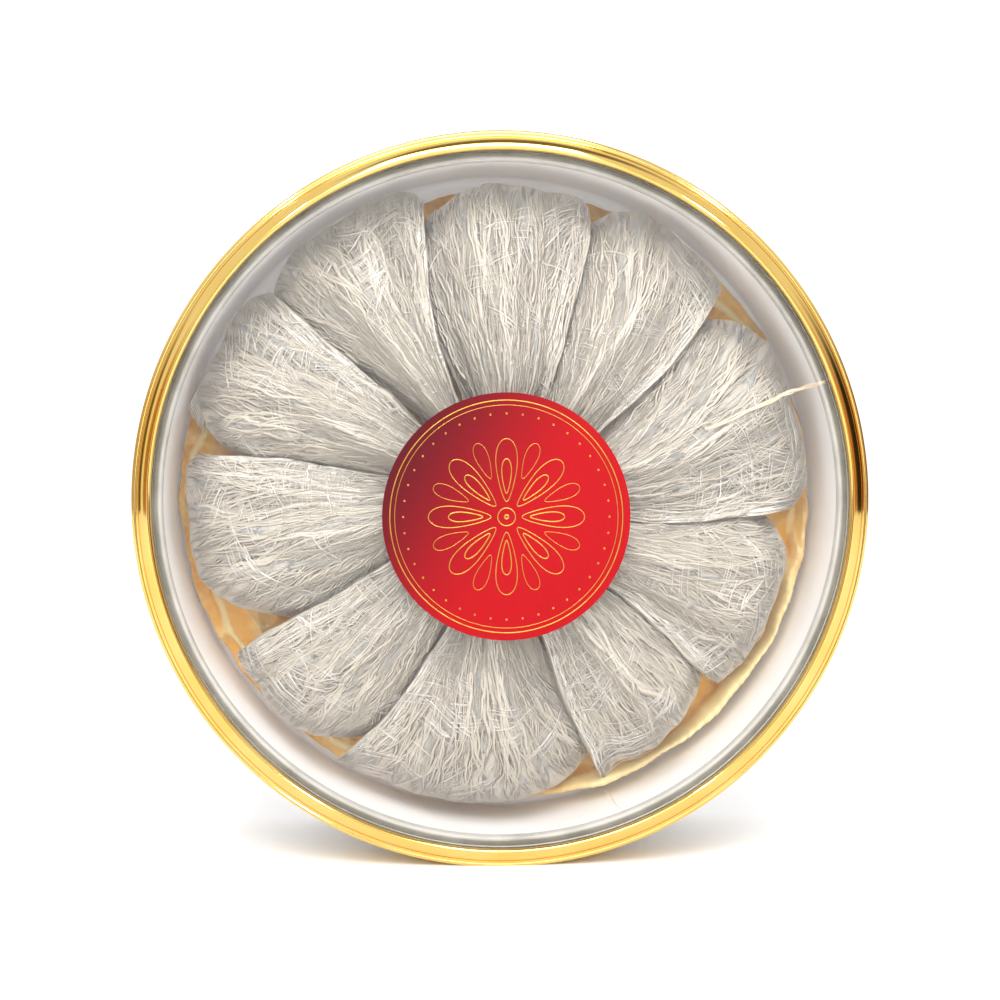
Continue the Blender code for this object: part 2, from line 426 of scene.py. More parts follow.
@dataclass(frozen=True)
class Waves:
    """Smooth seeded wandering: a sum of sines with jittered lengths and random phases.

    Attributes:
        lengths: Wavelengths in millimetres.
        sizes: Amplitude of each wave.
    """

    lengths: tuple[float, ...]
    sizes: tuple[float, ...]

    def along(self, travel: np.ndarray, draw: np.random.Generator) -> np.ndarray:
        """One wandering for each row of travel: the sum of size times sin(turn * travel / length + phase)."""
        total = np.zeros_like(travel)
        for length, size in zip(self.lengths, self.sizes):
            stretch = draw.uniform(0.75, 1.35, (len(travel), 1)) * length
            phase = draw.uniform(0.0, FULL_TURN, (len(travel), 1))
            total = total + size * np.sin(FULL_TURN * travel / stretch + phase)
        return total

    def over(self, x: np.ndarray, y: np.ndarray, draw: np.random.Generator) -> np.ndarray:
        """A wandering over a plane: each wave runs along its own random heading."""
        total = np.zeros(np.broadcast(x, y).shape)
        for length, size in zip(self.lengths, self.sizes):
            heading, phase = draw.uniform(0.0, FULL_TURN, 2)
            travel = x * math.cos(heading) + y * math.sin(heading)
            total = total + size * np.sin(FULL_TURN * travel / length + phase)
        return total


class FinishTree:
    """A material on its way: its node tree, its shader, and the nodes that most finishes share."""

    def __init__(self, name: str) -> None:
        """Starts the material of this name."""
        self.material = bpy.data.materials.new(name)
        self.material.use_nodes = True
        self.tree = self.material.node_tree

    @cached_property
    def place(self) -> bpy.types.NodeSocket:
        """The piece's own coordinates."""
        return add_node(self.tree, "TexCoord").outputs["Object"]

    def tone(self) -> bpy.types.NodeSocket:
        """The number that the mesh carries at each point."""
        return add_node(self.tree, "Attribute", {"attribute_name": "tone"}).outputs["Fac"]

    def noise(self, size_mm: float, detail: float, way: bpy.types.NodeSocket | None = None) -> bpy.types.NodeSocket:
        """Noise of a given size and detail, on the piece's own coordinates unless others are given."""
        settings = {"Scale": 1 / (size_mm * MM), "Detail": detail}
        return add_node(self.tree, "TexNoise", settings, {"Vector": way or self.place}).outputs["Fac"]

    def turned(self, settings: dict, way: bpy.types.NodeSocket | None = None) -> bpy.types.NodeSocket:
        """Coordinates that are moved, turned or stretched."""
        return add_node(self.tree, "Mapping", settings, {"Vector": way or self.place}).outputs["Vector"]

    def spread(self, value: bpy.types.NodeSocket, settings: dict) -> bpy.types.NodeSocket:
        """A value carried from one range to another."""
        return add_node(self.tree, "MapRange", settings, {"Value": value}).outputs["Result"]

    def mix(
        self, share: bpy.types.NodeSocket, first: bpy.types.NodeSocket | str, second: bpy.types.NodeSocket | str
    ) -> bpy.types.NodeSocket:
        """A blend of two colours, from the first at a share of 0 to the second at 1.

        Args:
            share: How much of the second colour there is.
            first: A colour's socket, or its sRGB hex code.
            second: A colour's socket, or its sRGB hex code.

        Returns:
            The blend's socket.
        """
        colours = {"Color1": first, "Color2": second}
        codes = {name: linear(colour) for name, colour in colours.items() if isinstance(colour, str)}
        links = {name: colour for name, colour in colours.items() if name not in codes}
        return add_node(self.tree, "MixRGB", codes, {"Fac": share, **links}).outputs["Color"]

    def relief(self, height: bpy.types.NodeSocket, strength: float, depth_mm: float) -> bpy.types.NodeSocket:
        """The normal of a fine relief."""
        settings = {"Strength": strength, "Distance": depth_mm * MM}
        return add_node(self.tree, "Bump", settings, {"Height": height}).outputs["Normal"]

    def finished(self, inputs: dict) -> bpy.types.Material:
        """Feeds the shader, and hands over the material.

        Args:
            inputs: By the shader's input name, a socket to link or a value to set.

        Returns:
            The material.
        """
        shader = self.tree.nodes["Principled BSDF"]
        for name, value in inputs.items():
            if isinstance(value, bpy.types.NodeSocket):
                self.tree.links.new(value, shader.inputs[name])
            else:
                shader.inputs[name].default_value = value
        return self.material


def glow(weight: float, colours: tuple[float, float, float], size_mm: float) -> dict:
    """Shader inputs for light that spreads under the surface, further in some colours than in others."""
    return {"Subsurface Weight": weight, "Subsurface Radius": colours, "Subsurface Scale": size_mm * MM}


@dataclass(frozen=True)
class GoldPlating:
    """Vacuum-metallised ABS: mirror bright, with the faint orange peel of the moulding under it."""

    colour: str = "#E8CA80"
    shade: str = "#DCB052"
    cloud_mm: float = 18.0
    roughness: float = 0.07
    peel_mm: float = 2.6
    peel_depth: float = 0.02
    peel_strength: float = 0.25

    def material(self) -> bpy.types.Material:
        """Makes the material."""
        tree = FinishTree("vacuum_metallised_gold")
        return tree.finished({
            "Base Color": tree.mix(tree.noise(self.cloud_mm, 2.0), self.colour, self.shade),
            "Normal": tree.relief(tree.noise(self.peel_mm, 1.0), self.peel_strength, self.peel_depth),
            "Metallic": 1.0,
            "Roughness": self.roughness,
        })


@dataclass(frozen=True)
class ClearAcrylic:
    """Polished acrylic sheet: nearly invisible straight on, and glossier where it is seen aslant."""

    colour: str = "#EEF0F2"
    straight_alpha: float = 0.02
    slant_alpha: float = 0.16
    slant_index: float = 1.35
    index: float = 1.49
    roughness: float = 0.03

    def material(self) -> bpy.types.Material:
        """Makes the material."""
        tree = FinishTree("clear_acrylic_sheet")
        slant = add_node(tree.tree, "Fresnel", {"IOR": self.slant_index}).outputs["Fac"]
        return tree.finished({
            "Alpha": tree.spread(slant, {"To Min": self.straight_alpha, "To Max": self.slant_alpha}),
            "Base Color": linear(self.colour),
            "Roughness": self.roughness,
            "IOR": self.index,
        })


@dataclass(frozen=True)
class ClearSilicone:
    """Extruded clear silicone: half see-through with a soft gloss, and greyer towards the gold rim, where it carries
    painted shade.

    The share of the shade colour is the tone, which carries the painted shade, plus the noise squared, less the
    noise's usual level.
    """

    colour: str = "#DEDAD3"
    # Painted shade: the grey of the ring towards the gold rim.
    shade: str = "#7E7A68"
    cloud_mm: float = 9.0
    cloud_level: float = 0.2
    alpha: float = 0.66
    roughness: float = 0.5

    def material(self) -> bpy.types.Material:
        """Makes the material."""
        tree = FinishTree("clear_silicone_ring")
        cloud = tree.noise(self.cloud_mm, 2.0)
        square = add_node(
            tree.tree, "Math", {"operation": "MULTIPLY_ADD", 2: -self.cloud_level}, {0: cloud, 1: cloud}
        )
        # The tone's painted shade towards the gold rim, plus a random cloudiness.
        depth = add_node(
            tree.tree, "Math", {"operation": "ADD", "use_clamp": True}, {0: tree.tone(), 1: square.outputs["Value"]}
        )
        return tree.finished({
            "Base Color": tree.mix(depth.outputs["Value"], self.colour, self.shade),
            "Alpha": self.alpha,
            "Roughness": self.roughness,
        })


@dataclass(frozen=True)
class MouldedWhite:
    """Injection-moulded polypropylene: milky white, lit through its wall, with a grey on its outer side that is
    painted shade.
    """

    colour: str = "#FDFBFB"
    shade: str = "#F7F4F4"
    # Painted shade: the grey that the tray's outer side gets.
    painted_shade_outside: str = "#BDB7B1"
    cloud_mm: float = 26.0
    roughness: float = 0.32
    grain_mm: float = 0.9
    grain_depth: float = 0.03
    grain_strength: float = 0.15
    glow_mm: float = 4.5
    glow_weight: float = 0.95
    glow_colours: tuple[float, float, float] = (1.0, 0.96, 0.94)

    def material(self) -> bpy.types.Material:
        """Makes the material."""
        tree = FinishTree("moulded_white_polypropylene")
        milk = tree.mix(tree.noise(self.cloud_mm, 3.0), self.colour, self.shade)
        return tree.finished({
            # The tone picks the painted shade on the tray's outer side.
            "Base Color": tree.mix(tree.tone(), milk, self.painted_shade_outside),
            "Normal": tree.relief(tree.noise(self.grain_mm, 2.0), self.grain_strength, self.grain_depth),
            "Roughness": self.roughness,
            **glow(self.glow_weight, self.glow_colours, self.glow_mm),
        })


@dataclass(frozen=True)
class CoatedPaper:
    """Coated label paper: red that is deeper towards the upper left, under a silky varnish."""

    bright: str = "#A80B14"
    deep: str = "#54101A"
    fade_heading: float = 32.0
    fade_start: float = -34.0
    fade_end: float = 12.0
    roughness: float = 0.42
    gloss_level: float = 0.1
    fibre_mm: float = 0.35
    fibre_depth: float = 0.02
    fibre_strength: float = 0.12

    def material(self) -> bpy.types.Material:
        """Makes the material."""
        tree = FinishTree("coated_label_paper")
        middle = (0.0, 0.0, BOX.axis_height * MM)
        heading = (0.0, math.radians(self.fade_heading), 0.0)
        turned = tree.turned({"vector_type": "TEXTURE", "Location": middle, "Rotation": heading})
        across = add_node(tree.tree, "SeparateXYZ", {}, {"Vector": turned}).outputs["X"]
        reach = {"From Min": self.fade_start * MM, "From Max": self.fade_end * MM}
        fade = tree.spread(across, {"interpolation_type": "SMOOTHSTEP", **reach})
        return tree.finished({
            "Base Color": tree.mix(fade, self.deep, self.bright),
            "Normal": tree.relief(tree.noise(self.fibre_mm, 3.0), self.fibre_strength, self.fibre_depth),
            "Roughness": self.roughness,
            "Specular IOR Level": self.gloss_level,
        })


@dataclass(frozen=True)
class StampedFoil:
    """Hot-stamped gold foil: a soft metal gloss, a little mottled where it took unevenly."""

    colour: str = "#D9AE55"
    shade: str = "#9C6E1E"
    mottle_mm: float = 3.0
    metallic: float = 0.85
    roughness: float = 0.3

    def material(self) -> bpy.types.Material:
        """Makes the material."""
        tree = FinishTree("hot_stamped_foil")
        return tree.finished({
            "Base Color": tree.mix(tree.noise(self.mottle_mm, 3.0), self.colour, self.shade),
            "Metallic": self.metallic,
            "Roughness": self.roughness,
        })


@dataclass(frozen=True)
class GoldSatin:
    """Woven polyester satin: long floats that shine along the folds. Its pale colour is a painted highlight on the hem
    and on the crests of the creases. The weave is drawn coarse.
    """

    colour: str = "#FFCC58"
    shade: str = "#F3A430"
    # Painted highlight: the colour of the hem and of the creases' crests.
    pale: str = "#FFEBAE"
    cloud_mm: float = 7.0
    roughness: float = 0.27
    float_mm: float = 0.5
    float_heading: float = 40.0
    float_stretch: float = 0.12
    float_depth: float = 0.08
    float_strength: float = 0.3
    gloss_level: float = 0.5
    sheen: float = 0.35

    def material(self) -> bpy.types.Material:
        """Makes the material."""
        tree = FinishTree("gold_polyester_satin")
        ground = tree.mix(tree.noise(self.cloud_mm, 4.0), self.shade, self.colour)
        heading = (0.0, math.radians(self.float_heading), 0.0)
        stretched = tree.turned({"Rotation": heading, "Scale": (1.0, 1.0, self.float_stretch)})
        floats = tree.noise(self.float_mm, 2.0, stretched)
        return tree.finished({
            "Base Color": tree.mix(tree.tone(), ground, self.pale),
            "Normal": tree.relief(floats, self.float_strength, self.float_depth),
            "Roughness": self.roughness,
            "Specular IOR Level": self.gloss_level,
            "Sheen Weight": self.sheen,
            "Sheen Tint": linear(self.colour),
        })


@dataclass(frozen=True)
class DriedStrand:
    """Dried strands: horny and off-white, with a wet-looking gloss where they are clean."""

    bright: str = "#C6BDAF"
    # The colour at a low tone: random duller strands, and painted shade on the deeper ones.
    dull: str = "#C1B8AA"
    cloud_mm: float = 5.0
    glossiest: float = 0.2
    dullest: float = 0.52
    index: float = 1.54
    coat: float = 0.15
    coat_roughness: float = 0.08

    def material(self) -> bpy.types.Material:
        """Makes the material."""
        tree = FinishTree("dried_nest_strand")
        cloud = tree.noise(self.cloud_mm, 3.0)
        return tree.finished({
            "Base Color": tree.mix(tree.tone(), self.dull, self.bright),
            "Roughness": tree.spread(cloud, {"To Min": self.glossiest, "To Max": self.dullest}),
            "IOR": self.index,
            "Coat Weight": self.coat,
            "Coat Roughness": self.coat_roughness,
        })


@dataclass(frozen=True)
class GlassyHair:
    """Single dried filaments: glossy, so that the lamps draw them as bright hairs. Their light colour is partly their
    own and partly a painted glint.
    """

    colour: str = "#F4EFE8"
    shade: str = "#E2DBD0"
    cloud_mm: float = 2.5
    roughness: float = 0.16
    index: float = 1.54
    coat: float = 0.5

    def material(self) -> bpy.types.Material:
        """Makes the material."""
        tree = FinishTree("glassy_nest_hair")
        return tree.finished({
            "Base Color": tree.mix(tree.noise(self.cloud_mm, 2.0), self.colour, self.shade),
            "Roughness": self.roughness,
            "IOR": self.index,
            "Coat Weight": self.coat,
        })


@dataclass(frozen=True)
class StrandFilm:
    """The film of fused strands under the web: streaked along the strands, with small darker gaps whose darkness is
    painted shade of the holes in the web.
    """

    bright: str = "#CEC4B6"
    # Painted shade: the colour of the gaps between the strands.
    gap: str = "#C6BCAD"
    streak_mm: float = 0.6
    stretch: float = 11.0
    gap_end: float = 0.38
    streak_start: float = 0.6
    gap_depth: float = 0.25
    gap_strength: float = 0.3
    roughness: float = 0.4
    glow_mm: float = 2.6
    glow_weight: float = 0.9
    glow_colours: tuple[float, float, float] = (1.0, 0.9, 0.78)

    def material(self) -> bpy.types.Material:
        """Makes the material. Its streaks run on the flow layer, which is in millimetres."""
        tree = FinishTree("fused_nest_film")
        flow = add_node(tree.tree, "UVMap", {"uv_map": "flow"}).outputs["UV"]
        squeezed = tree.turned({"Scale": (1 / self.stretch, 1.0, 1.0)}, flow)
        settings = {"Scale": 1 / self.streak_mm, "Detail": 3.0, "Roughness": 0.6, "Distortion": 0.4}
        streaks = add_node(tree.tree, "TexNoise", settings, {"Vector": squeezed}).outputs["Fac"]
        gaps = tree.spread(streaks, {"From Min": self.gap_end, "From Max": self.streak_start})
        return tree.finished({
            "Base Color": tree.mix(gaps, self.gap, self.bright),
            "Normal": tree.relief(gaps, self.gap_strength, self.gap_depth),
            "Roughness": self.roughness,
            **glow(self.glow_weight, self.glow_colours, self.glow_mm),
        })


@dataclass(frozen=True)
class LidRim:
    """The gold rim: a narrow crest, a broad slope, a thin outer bead and a skirt with a rolled end."""

    inner_radius: float = 94.4
    crest_radius: float = 0.85
    slope_radius: float = 4.6
    flange_back: float = 3.0
    skirt_end: float = 16.0
    skirt_wall: float = 1.4
    steps: int = 360

    def profile(self) -> np.ndarray:
        """The section, from the flange's inner back corner round the crest, the slope, the bead and the skirt.

        The slope's arc goes on from the crest's end at the same angle, so its centre is the
        crest's end less the slope's radius times (cos, sin) of that angle.
        """
        crest = arc(self.inner_radius + 0.1 + self.crest_radius, self.crest_radius, self.crest_radius, 184, 288, 14)
        turn = math.radians(288)
        middle = crest[-1] - self.slope_radius * np.array([math.cos(turn), math.sin(turn)])
        slope = arc(middle[0], middle[1], self.slope_radius, 290, 332, 12)
        bead = arc(BOX.radius - 0.7, slope[-1, 1] + 0.75, 0.7, -125, 0, 10)
        skirt = np.array([[BOX.radius, 4.0], [BOX.radius, 13.4], [BOX.radius - 0.12, 13.7], [BOX.radius - 0.12, 14.1],
                          [BOX.radius, 14.4]])
        end = arc(BOX.radius - 0.5, self.skirt_end - 0.5, 0.5, 0, 90, 5)
        inside = np.array([
            [BOX.radius - self.skirt_wall, self.skirt_end],
            [BOX.radius - self.skirt_wall, self.flange_back],
            [self.inner_radius + 0.2, self.flange_back],
            [self.inner_radius, self.flange_back - 0.2],
        ])
        return np.concatenate([crest, slope, bead, skirt, end, inside])

    def build(self) -> bpy.types.Object:
        """Builds the rim."""
        ring = turned_ring(self.profile(), self.steps, on_ground=True)
        return ring.piece("gold_rim", [GoldPlating().material()], "lid_rim", "gold_plating", sharp_degrees=50)


@dataclass(frozen=True)
class WindowPane:
    """The clear pane behind the rim's flange."""

    radius: float = 98.2
    front: float = 3.3
    back: float = 5.1
    bevel: float = 0.25
    steps: int = 180

    def build(self) -> bpy.types.Object:
        """Builds the pane, a flat disc with a small bevel at both edges."""
        profile = np.array([
            [0.0, self.front],
            [self.radius - self.bevel, self.front],
            [self.radius, self.front + self.bevel],
            [self.radius, self.back - self.bevel],
            [self.radius - self.bevel, self.back],
            [0.0, self.back],
        ])
        disc = turned_disc(profile, self.steps)
        made = disc.piece("window_pane", [ClearAcrylic().material()], "lid_window", "clear_pane", sharp_degrees=30)
        made.visible_shadow = False  # A clear pane's shadow is too faint to see, and slow to trace.
        return made


@dataclass(frozen=True)
class SealRing:
    """The soft clear ring between the pane and the tray's mouth, with a rounded inner lip."""

    inner_radius: float = 92.4
    outer_radius: float = 94.75
    front: float = 5.4
    depth: float = 4.0
    lip: float = 0.7
    steps: int = 240

    def build(self) -> bpy.types.Object:
        """Builds the ring."""
        back = self.front + self.depth
        front_lip = arc(self.inner_radius + self.lip, self.front + self.lip, self.lip, 270, 180, 6)
        back_lip = arc(self.inner_radius + self.lip, back - self.lip, self.lip, 180, 90, 6)
        outer = np.array([
            [self.outer_radius, back],
            [self.outer_radius, self.front],
            [self.outer_radius - 0.5 * (self.outer_radius - self.inner_radius), self.front],
        ])
        profile = np.concatenate([front_lip, back_lip, outer])
        ring = turned_ring(profile, self.steps)
        # Painted shade: the ring grows greyer towards its outer edge, beside the gold rim.
        rim_shade_share = smooth_step(self.inner_radius + 0.5, self.inner_radius + 1.3, profile[:, 0])
        ring.tone = np.tile(0.1 + 0.8 * rim_shade_share, self.steps)
        return ring.piece("silicone_ring", [ClearSilicone().material()], "seal_ring", "clear_seal", sharp_degrees=40)


@dataclass(frozen=True)
class Tray:
    """The white tray: a wall, a floor, a back with a shallow recess, and a foot as wide as the rim."""

    inner_radius: float = 94.8
    wall_radius: float = 98.0
    mouth: float = 5.4
    floor_front: float = 57.6
    back: float = 60.0
    foot_front: float = 53.0
    bevel: float = 1.0
    fillet: float = 2.0
    recess_radius: float = 88.0
    recess_depth: float = 0.8
    gate_radius: float = 2.4
    gate_height: float = 0.3
    steps: int = 360

    def profile(self) -> np.ndarray:
        """The section, from the gate mark in the back's recess round the foot, the wall and the floor."""
        foot = BOX.radius
        recess = self.back - self.recess_depth
        gate = recess + self.gate_height
        outer = np.concatenate([
            [[0.0, gate], [self.gate_radius, gate], [self.gate_radius + 0.1, recess]],
            [[self.recess_radius, recess], [self.recess_radius + 0.3, self.back]],
            arc(foot - self.bevel, self.back - self.bevel, self.bevel, 90, 0, 5),
            arc(foot - self.bevel, self.foot_front + 0.4, self.bevel, 0, -55, 4),
            [[self.wall_radius + 0.15, self.foot_front - 1.2], [self.wall_radius, self.foot_front - 2.0]],
        ])
        mouth = np.concatenate([
            arc(self.wall_radius - 0.4, self.mouth + 0.4, 0.4, 0, -90, 3),
            arc(self.inner_radius + 0.4, self.mouth + 0.4, 0.4, -90, -180, 3),
        ])
        inside = arc(self.inner_radius - self.fillet, self.floor_front - self.fillet, self.fillet, 0, 90, 6)
        return np.concatenate([outer, mouth, inside, [[0.0, self.floor_front]]])

    def build(self) -> bpy.types.Object:
        """Builds the tray, and marks its outer side for the grey of painted shade."""
        profile = self.profile()
        cup = turned_disc(profile, self.steps, on_ground=True)
        # Points on the tray's outer side get the painted shade.
        painted_shade_outside = ((profile[:, 0] > self.wall_radius - 0.5) | (profile[:, 1] > self.floor_front)).astype(float)
        cup.tone = np.concatenate([np.tile(painted_shade_outside[1:-1], self.steps), painted_shade_outside[[0, -1]]])
        return cup.piece("white_tray", [MouldedWhite().material()], "tray", "white_plastic", sharp_degrees=50)


@dataclass(frozen=True)
class Label:
    """The round paper label, with stamped rings, a ring of dots and an eight-petal rosette.

    Attributes:
        dot: A dot's radius and its line's half width.
        eyes: Rows of a middle ring's radius, half width and spans.
        petal_rows: Rows of a petal's length and width as shares, half width, turn and distance from the middle.
    """

    radius: float = 33.7
    front: float = 2.5
    back: float = 3.0
    right: float = 1.0
    down: float = 3.8
    ring_radii: tuple[float, ...] = (31.6, 30.3)
    ring_half_widths: tuple[float, ...] = (0.3, 0.17)
    dot_count: int = 40
    dot_circle: float = 28.0
    dot: tuple = (0.2, 0.18)
    eyes: tuple = ((2.4, 0.3, 48), (0.5, 0.45, 24))
    petal_count: int = 8
    petal_rows: tuple = ((1.0, 1.0, 0.24, 0.0, 4.2), (0.55, 0.45, 0.3, 0.0, 6.4), (0.6, 0.62, 0.16, 0.5, 11.2))
    petal_length: float = 17.0
    petal_width: float = 5.4
    foil_height: float = 0.05
    steps: int = 192

    def paper(self) -> bpy.types.Object:
        """Builds the paper disc, with a slightly rounded front edge."""
        profile = np.concatenate([
            [[0.0, self.front]],
            arc(self.radius - 0.15, self.front + 0.15, 0.15, -90, 0, 4),
            [[self.radius, self.back], [0.0, self.back]],
        ])
        disc = turned_disc(profile, self.steps, centre=(self.right, -self.down))
        return disc.piece("paper_label", [CoatedPaper().material()], "label", "red_paper", sharp_degrees=50)

    def lift(self, x: np.ndarray, z: np.ndarray) -> np.ndarray:
        """Places points of the label's own plane on its front."""
        height = BOX.axis_height - self.down
        return np.stack([x + self.right, np.full_like(x, BOX.front + self.front), z + height], axis=-1) * MM

    def circles(self, radii: np.ndarray, x: np.ndarray, z: np.ndarray, half_width: np.ndarray, steps: int) -> Surface:
        """Thin foil rings about given centres: centre plus radius times (sin, cos) of even angles."""
        angle = np.arange(steps)[None] * FULL_TURN / steps
        lines = self.lift(x[:, None] + radii[:, None] * np.sin(angle), z[:, None] + radii[:, None] * np.cos(angle))
        widths = np.broadcast_to(half_width[:, None], lines.shape[:2])
        return tubes(lines, widths, np.full(lines.shape[:2], self.foil_height), looped=True)

    def petals(self, length: float, width: float, half_width: float, turn: float, start: float) -> Surface:
        """Petal outlines in a ring.

        At t along the loop, out = start + length * (1 - cos t) / 2 and
        aside = width / 2 * sin t * (1 - 0.45 cos t), turned by each petal's angle.
        """
        loop = np.arange(64)[None] * FULL_TURN / 64
        out = start + length * (1 - np.cos(loop)) / 2
        aside = width / 2 * np.sin(loop) * (1 - 0.45 * np.cos(loop))
        angle = (np.arange(self.petal_count)[:, None] + turn) * FULL_TURN / self.petal_count
        x = out * np.sin(angle) + aside * np.cos(angle)
        z = out * np.cos(angle) - aside * np.sin(angle)
        lines = self.lift(x, z)
        shape = lines.shape[:2]
        return tubes(lines, np.full(shape, half_width), np.full(shape, self.foil_height), looped=True)

    def foil(self) -> bpy.types.Object:
        """Builds all the stamped lines as one piece."""
        middles = np.zeros(len(self.ring_radii))
        rings = self.circles(np.array(self.ring_radii), middles, middles, np.array(self.ring_half_widths), self.steps)
        angle = np.arange(self.dot_count) * FULL_TURN / self.dot_count
        x, z = self.dot_circle * np.sin(angle), self.dot_circle * np.cos(angle)
        dots = self.circles(np.full(self.dot_count, self.dot[0]), x, z, np.full(self.dot_count, self.dot[1]), 12)
        parts = [rings, dots]
        for radius, half_width, steps in self.eyes:
            parts.append(self.circles(np.array([radius]), middles[:1], middles[:1], np.array([half_width]), steps))
        for length, width, *rest in self.petal_rows:
            parts.append(self.petals(self.petal_length * length, self.petal_width * width, *rest))
        whole, _ = joined(*(part.plain() for part in parts))
        return whole.piece("label_foil", [StampedFoil().material()], "", "gold_plating")

    def build(self) -> None:
        """Builds the paper and the foil."""
        self.paper()
        self.foil()


@dataclass(frozen=True)
class NestMound:
    """The low mound that the nests form together, and the satin pad's crown under it.

    Attributes:
        pad_top: The depth of the pad's edge, over which all heights count.
        edge_height: The mound's height at its reach from the ridge.
        height: The ridge's height.
        radius: The ridge's radius.
        reach: How far from the ridge the mound has its edge height.
        top_lift: How much higher the mound is at the wall at the top.
        lift_start: The radius from which it rises there.
        lift_end: The radius at which it has risen.
        pad_under: How far the pad's crown lies under the mound.
    """

    pad_top: float = 48.0
    edge_height: float = 3.0
    height: float = 17.0
    radius: float = 42.0
    reach: float = 50.0
    top_lift: float = 8.0
    lift_start: float = 55.0
    lift_end: float = 92.0
    pad_under: float = 4.0

    def over_pad(self, radius: np.ndarray, angle: np.ndarray) -> np.ndarray:
        """The edge height, plus a parabola about the mound's radius, plus a rise at the wall near the top."""
        hump = 1.0 - ((radius - self.radius) / self.reach) ** 2
        lift = self.top_lift * 0.5 * (1.0 + np.cos(angle)) * smooth_step(self.lift_start, self.lift_end, radius)
        return self.edge_height + (self.height - self.edge_height) * hump + lift

    def pad_crown(self, radius: np.ndarray) -> np.ndarray:
        """The pad's height over its edge: a little under the mound at the bottom, and level in the middle."""
        outward = np.maximum(radius, self.radius)
        return np.maximum(0.0, self.over_pad(outward, math.pi) - self.pad_under)


MOUND = NestMound()


